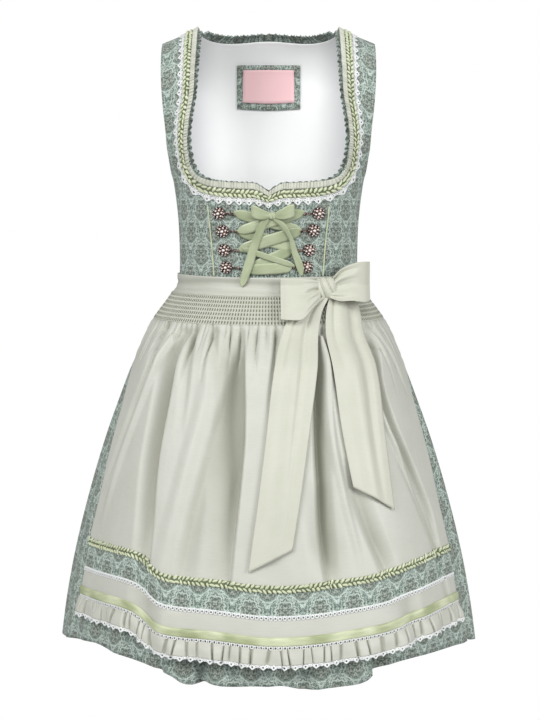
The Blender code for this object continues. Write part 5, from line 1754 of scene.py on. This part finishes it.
def pinched(angle, run):
    """How far the ruffle's pinches sink it, its count of puffs and its share of free height here."""
    drop = drop_of(run) + apron_rise(math.degrees(angle))
    free = clamp((drop - RUFFLE_TOP) / (RUFFLE_FOOT - RUFFLE_TOP), 0.0, LONGEST_PINCH)
    count = puff(clamp((math.degrees(angle) / FOOT_HALF + 1) / 2))
    sink = 0.0
    for near in (int(count), int(count) + 1):
        pinch = PINCHES[near]
        away = (count - near - pinch.lean * (free - 0.5)) * PUFF_PITCH / pinch.half
        if abs(away) < 1:
            sink += pinch.depth * bell(away) * (1 - ease((free - pinch.reach) / 0.4))
    return sink, count, free


def ruffle(angle, run):
    """Waved face of the ruffle: puffs between narrow pinches, which start at the seam."""
    sink, count, free = pinched(angle, run)
    swell = 0.0042 + 0.0026 * math.sin(1.9 * count) * ease(free)
    return off(apron, angle, run, max(swell * (0.55 + 0.45 * ease(free * 1.5)) - sink, 0.0))


ruffle_spot = apron_spot(RUFFLE_START, RUFFLE_FOOT, FOOT_HALF)


# painted shade in the ruffle's pinches, and a little over all of it
def ruffle_fold_shade(u, v):
    return 0.08 + pinched(*ruffle_spot(u, v))[0] / DARK_PINCH


frilled = on_form("apron_ruffle_satin", ivory_satin, PUFFS * 20, 12, ruffle_spot, surface=ruffle,
                  thick=RUFFLE_CLOTH, side=1.0, cut=None, fold=ruffle_fold_shade)
stands_for(frilled, "ivory", "apron_ruffle")


def on_ruffle(s, d, h):
    """place(s, d, h) for the picot lace along the ruffle's foot."""
    level = RUFFLE_FOOT - PICOT_TUCK + d
    return off(ruffle, *apron_spot(level, level, FOOT_HALF)(0.5 + s / (2 * APRON_HALF), 0.0), h)


PICOT_MOTIF = (Ring(0.0, 0.0036, (0.0042, 0.0038), (0.0013, 0.0014), diamond=True),
               *(Ring(x, 0.0022, (0.0021, 0.0018), (0.0006, 0.0006)) for x in (0.33, -0.33)),
               Ring(0.5, 0.0024, (0.0020, 0.0020), (0.0008, 0.0008)))
lace("apron_picot_edging", "apron_picot_lace", 2 * APRON_HALF - 0.001, PICOT_PITCH, on_ruffle,
     PICOT_MOTIF, PICOT_TAPE)

# %% [markdown]
# ## Bow and tails
# The band's ends are tied into one large flat bow. A loop runs out from the knot along its front layer,
# round a fold, and back behind it, and the pleats that the knot presses into it fade towards the fold.
# The tails hang over the apron's folds, so they lie a little above them and have creases of their own.

# %% Loops of the bow
KNOT = Vector((0.0745, -0.0950, -0.3375))
BOW_PIVOT = Vector((0.0865, -0.0905, -0.3325))
BOW_PLANE, BOW_TURN, BOW_LEAN = -0.0895, 0.317, 0.60
TIE_CLOTH = 0.0008


def bow_plane(x, drop):
    """Depth of the slanted plane that the bow stands on."""
    return BOW_PLANE + BOW_TURN * (x - BOW_PIVOT.x) - BOW_LEAN * max(drop + BOW_PIVOT.z, 0.0)


sash_bow = Bow("sash", "satin", "ivory", tie_satin, 110, 34, TIE_CLOTH, bow_plane, 0.35)
bow_loop(sash_bow, "left", 0.0052, 6,
         (0.0680, -0.3270, -0.3500, 0.0045), (0.0570, -0.3245, -0.3610, 0.0100),
         (0.0440, -0.3235, -0.3740, 0.0125), (0.0270, -0.3230, -0.3750, 0.0085),
         (0.0160, -0.3230, -0.3745, 0.0012))
bow_loop(sash_bow, "right", 0.0056, 9,
         (0.0800, -0.3290, -0.3480, 0.0045), (0.0940, -0.3125, -0.3520, 0.0105),
         (0.1110, -0.3045, -0.3520, 0.0130), (0.1260, -0.3020, -0.3545, 0.0085),
         (0.1340, -0.3020, -0.3530, 0.0012))
knot(sash_bow, KNOT, (0.0290, 0.0260, 0.0320))

# %% Tails
TAIL_GAP, TAIL_CURL = 0.0040, 0.0016
BOW_LIFT, BOW_DROP, BOW_FADE = 0.0085, 0.350, 0.065


def tail(hand, steps, cut, rows, creases):
    """A hanging end: the drops of its slanted cut, rows of (drop, left, right), and creases of
    (depth in mm, half width, rows of (drop, share across, strength)) along it."""
    left, right = smooth_columns(rows)
    lines = [(depth / 1000, half, *smooth_columns(path)) for depth, half, path in creases]

    def point(u, v):
        drop = mix(rows[0][0], mix(*cut, u), v ** 1.15)
        run = run_of(drop)
        full = ease((drop - SMOCK_END) / APRON_FULL_OVER)
        rest = APRON_GAP + TAIL_GAP + APRON_FULL * full + BOW_LIFT * bell((drop - BOW_DROP) / BOW_FADE)
        curl = TAIL_CURL * math.sin(math.pi * u) * full
        for depth, half, share, strength in lines:
            curl += depth * strength(drop) * bell((u - share(drop)) / half)
        return off(form, angle_at(mix(left(drop), right(drop), u), run), run, rest + curl)

    made = cloth(f"sash_tail_{hand}_satin", tie_satin, 36, steps, point, thick=TIE_CLOTH, side=1.0)
    stands_for(made, "ivory", f"sash_tail_{hand}")


tail("left", 110, (0.688, 0.661), (
    (0.3550, 0.062, 0.074), (0.370, 0.034, 0.067), (0.393, 0.018, 0.063), (0.448, 0.006, 0.058),
    (0.527, -0.003, 0.048), (0.600, -0.012, 0.038), (0.688, -0.024, 0.024)), (
        (3.0, 0.30, ((0.37, 0.30, 0.4), (0.45, 0.34, 1.0), (0.60, 0.42, 0.8), (0.69, 0.5, 0.4))),
        (-3.2, 0.14, ((0.36, 0.62, 1.0), (0.45, 0.66, 0.8), (0.58, 0.72, 0.4), (0.69, 0.8, 0.1))),
        (-2.4, 0.10, ((0.36, 0.22, 1.0), (0.41, 0.20, 0.7), (0.48, 0.18, 0.1), (0.69, 0.2, 0.0)))))
tail("right", 90, (0.588, 0.620), (
    (0.3535, 0.075, 0.100), (0.370, 0.0715, 0.113), (0.405, 0.0725, 0.122), (0.460, 0.080, 0.1335),
    (0.520, 0.0885, 0.1405), (0.620, 0.108, 0.1525)), (
        (3.0, 0.28, ((0.37, 0.42, 0.6), (0.45, 0.45, 1.0), (0.62, 0.50, 0.5))),
        (-3.4, 0.16, ((0.36, 0.75, 1.0), (0.45, 0.74, 0.8), (0.56, 0.70, 0.3), (0.62, 0.7, 0.0))),
        (-2.6, 0.11, ((0.36, 0.24, 1.0), (0.41, 0.26, 0.7), (0.48, 0.28, 0.1), (0.62, 0.3, 0.0)))))

# %% [markdown]
# ## Sizes of the cloth
# The size that each piece of cloth was cut to is printed. The UV map already holds each piece's flat
# cut in metres, so the sizes are read from there.

# %% Sheets
HELD = {"skirt": "gathered", "apron": "gathered", "neck": "gathered", "back": "stretched"}
CARRIERS = {"neck": "bodice_front_left_print", "back": "bodice_back_print",
            "piping": "bodice_front_left_print", "lacing": "bodice_front_right_print",
            "apron": "apron_satin_panel", "sash": "apron_satin_panel"}
NARROWEST, LEAST_FILLED = 0.0102, 0.31
cloth_pieces = [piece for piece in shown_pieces()
                if "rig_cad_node" not in piece and piece.data.uv_layers.get("cut")]


def flat_cut(piece):
    """Width, length and area of the flat cut, from the UV map."""
    spots = piece.data.uv_layers["cut"].data
    xs, ys = zip(*(spot.uv for spot in spots))
    area = 0.0
    for face in piece.data.polygons:
        corners = [spots[i].uv for i in face.loop_indices]
        area += abs(sum(a.x * b.y - a.y * b.x for a, b in zip(corners, corners[1:] + corners[:1]))) / 2
    return max(xs) - min(xs), max(ys) - min(ys), area


cuts = {piece: flat_cut(piece) for piece in cloth_pieces}
trims = [piece for piece, (width, length, area) in cuts.items()
         if "knot" in piece.name or min(width, length) < NARROWEST or area < LEAST_FILLED * width * length]
for piece, (width, length, area) in cuts.items():
    if piece in trims:
        continue
    sewn_on = [trim for trim in trims if CARRIERS[trim.name.split("_")[0]] == piece.name]
    held = HELD.get(piece.name.split("_")[0], "laid")
    min(area, width * length)
    print(f"{piece.name}: {width * 1000:.0f} x {length * 1000:.0f} mm, {area * 1e4:.0f} cm2, {held}")
print("narrow trims:", ", ".join(trim.name for trim in trims))
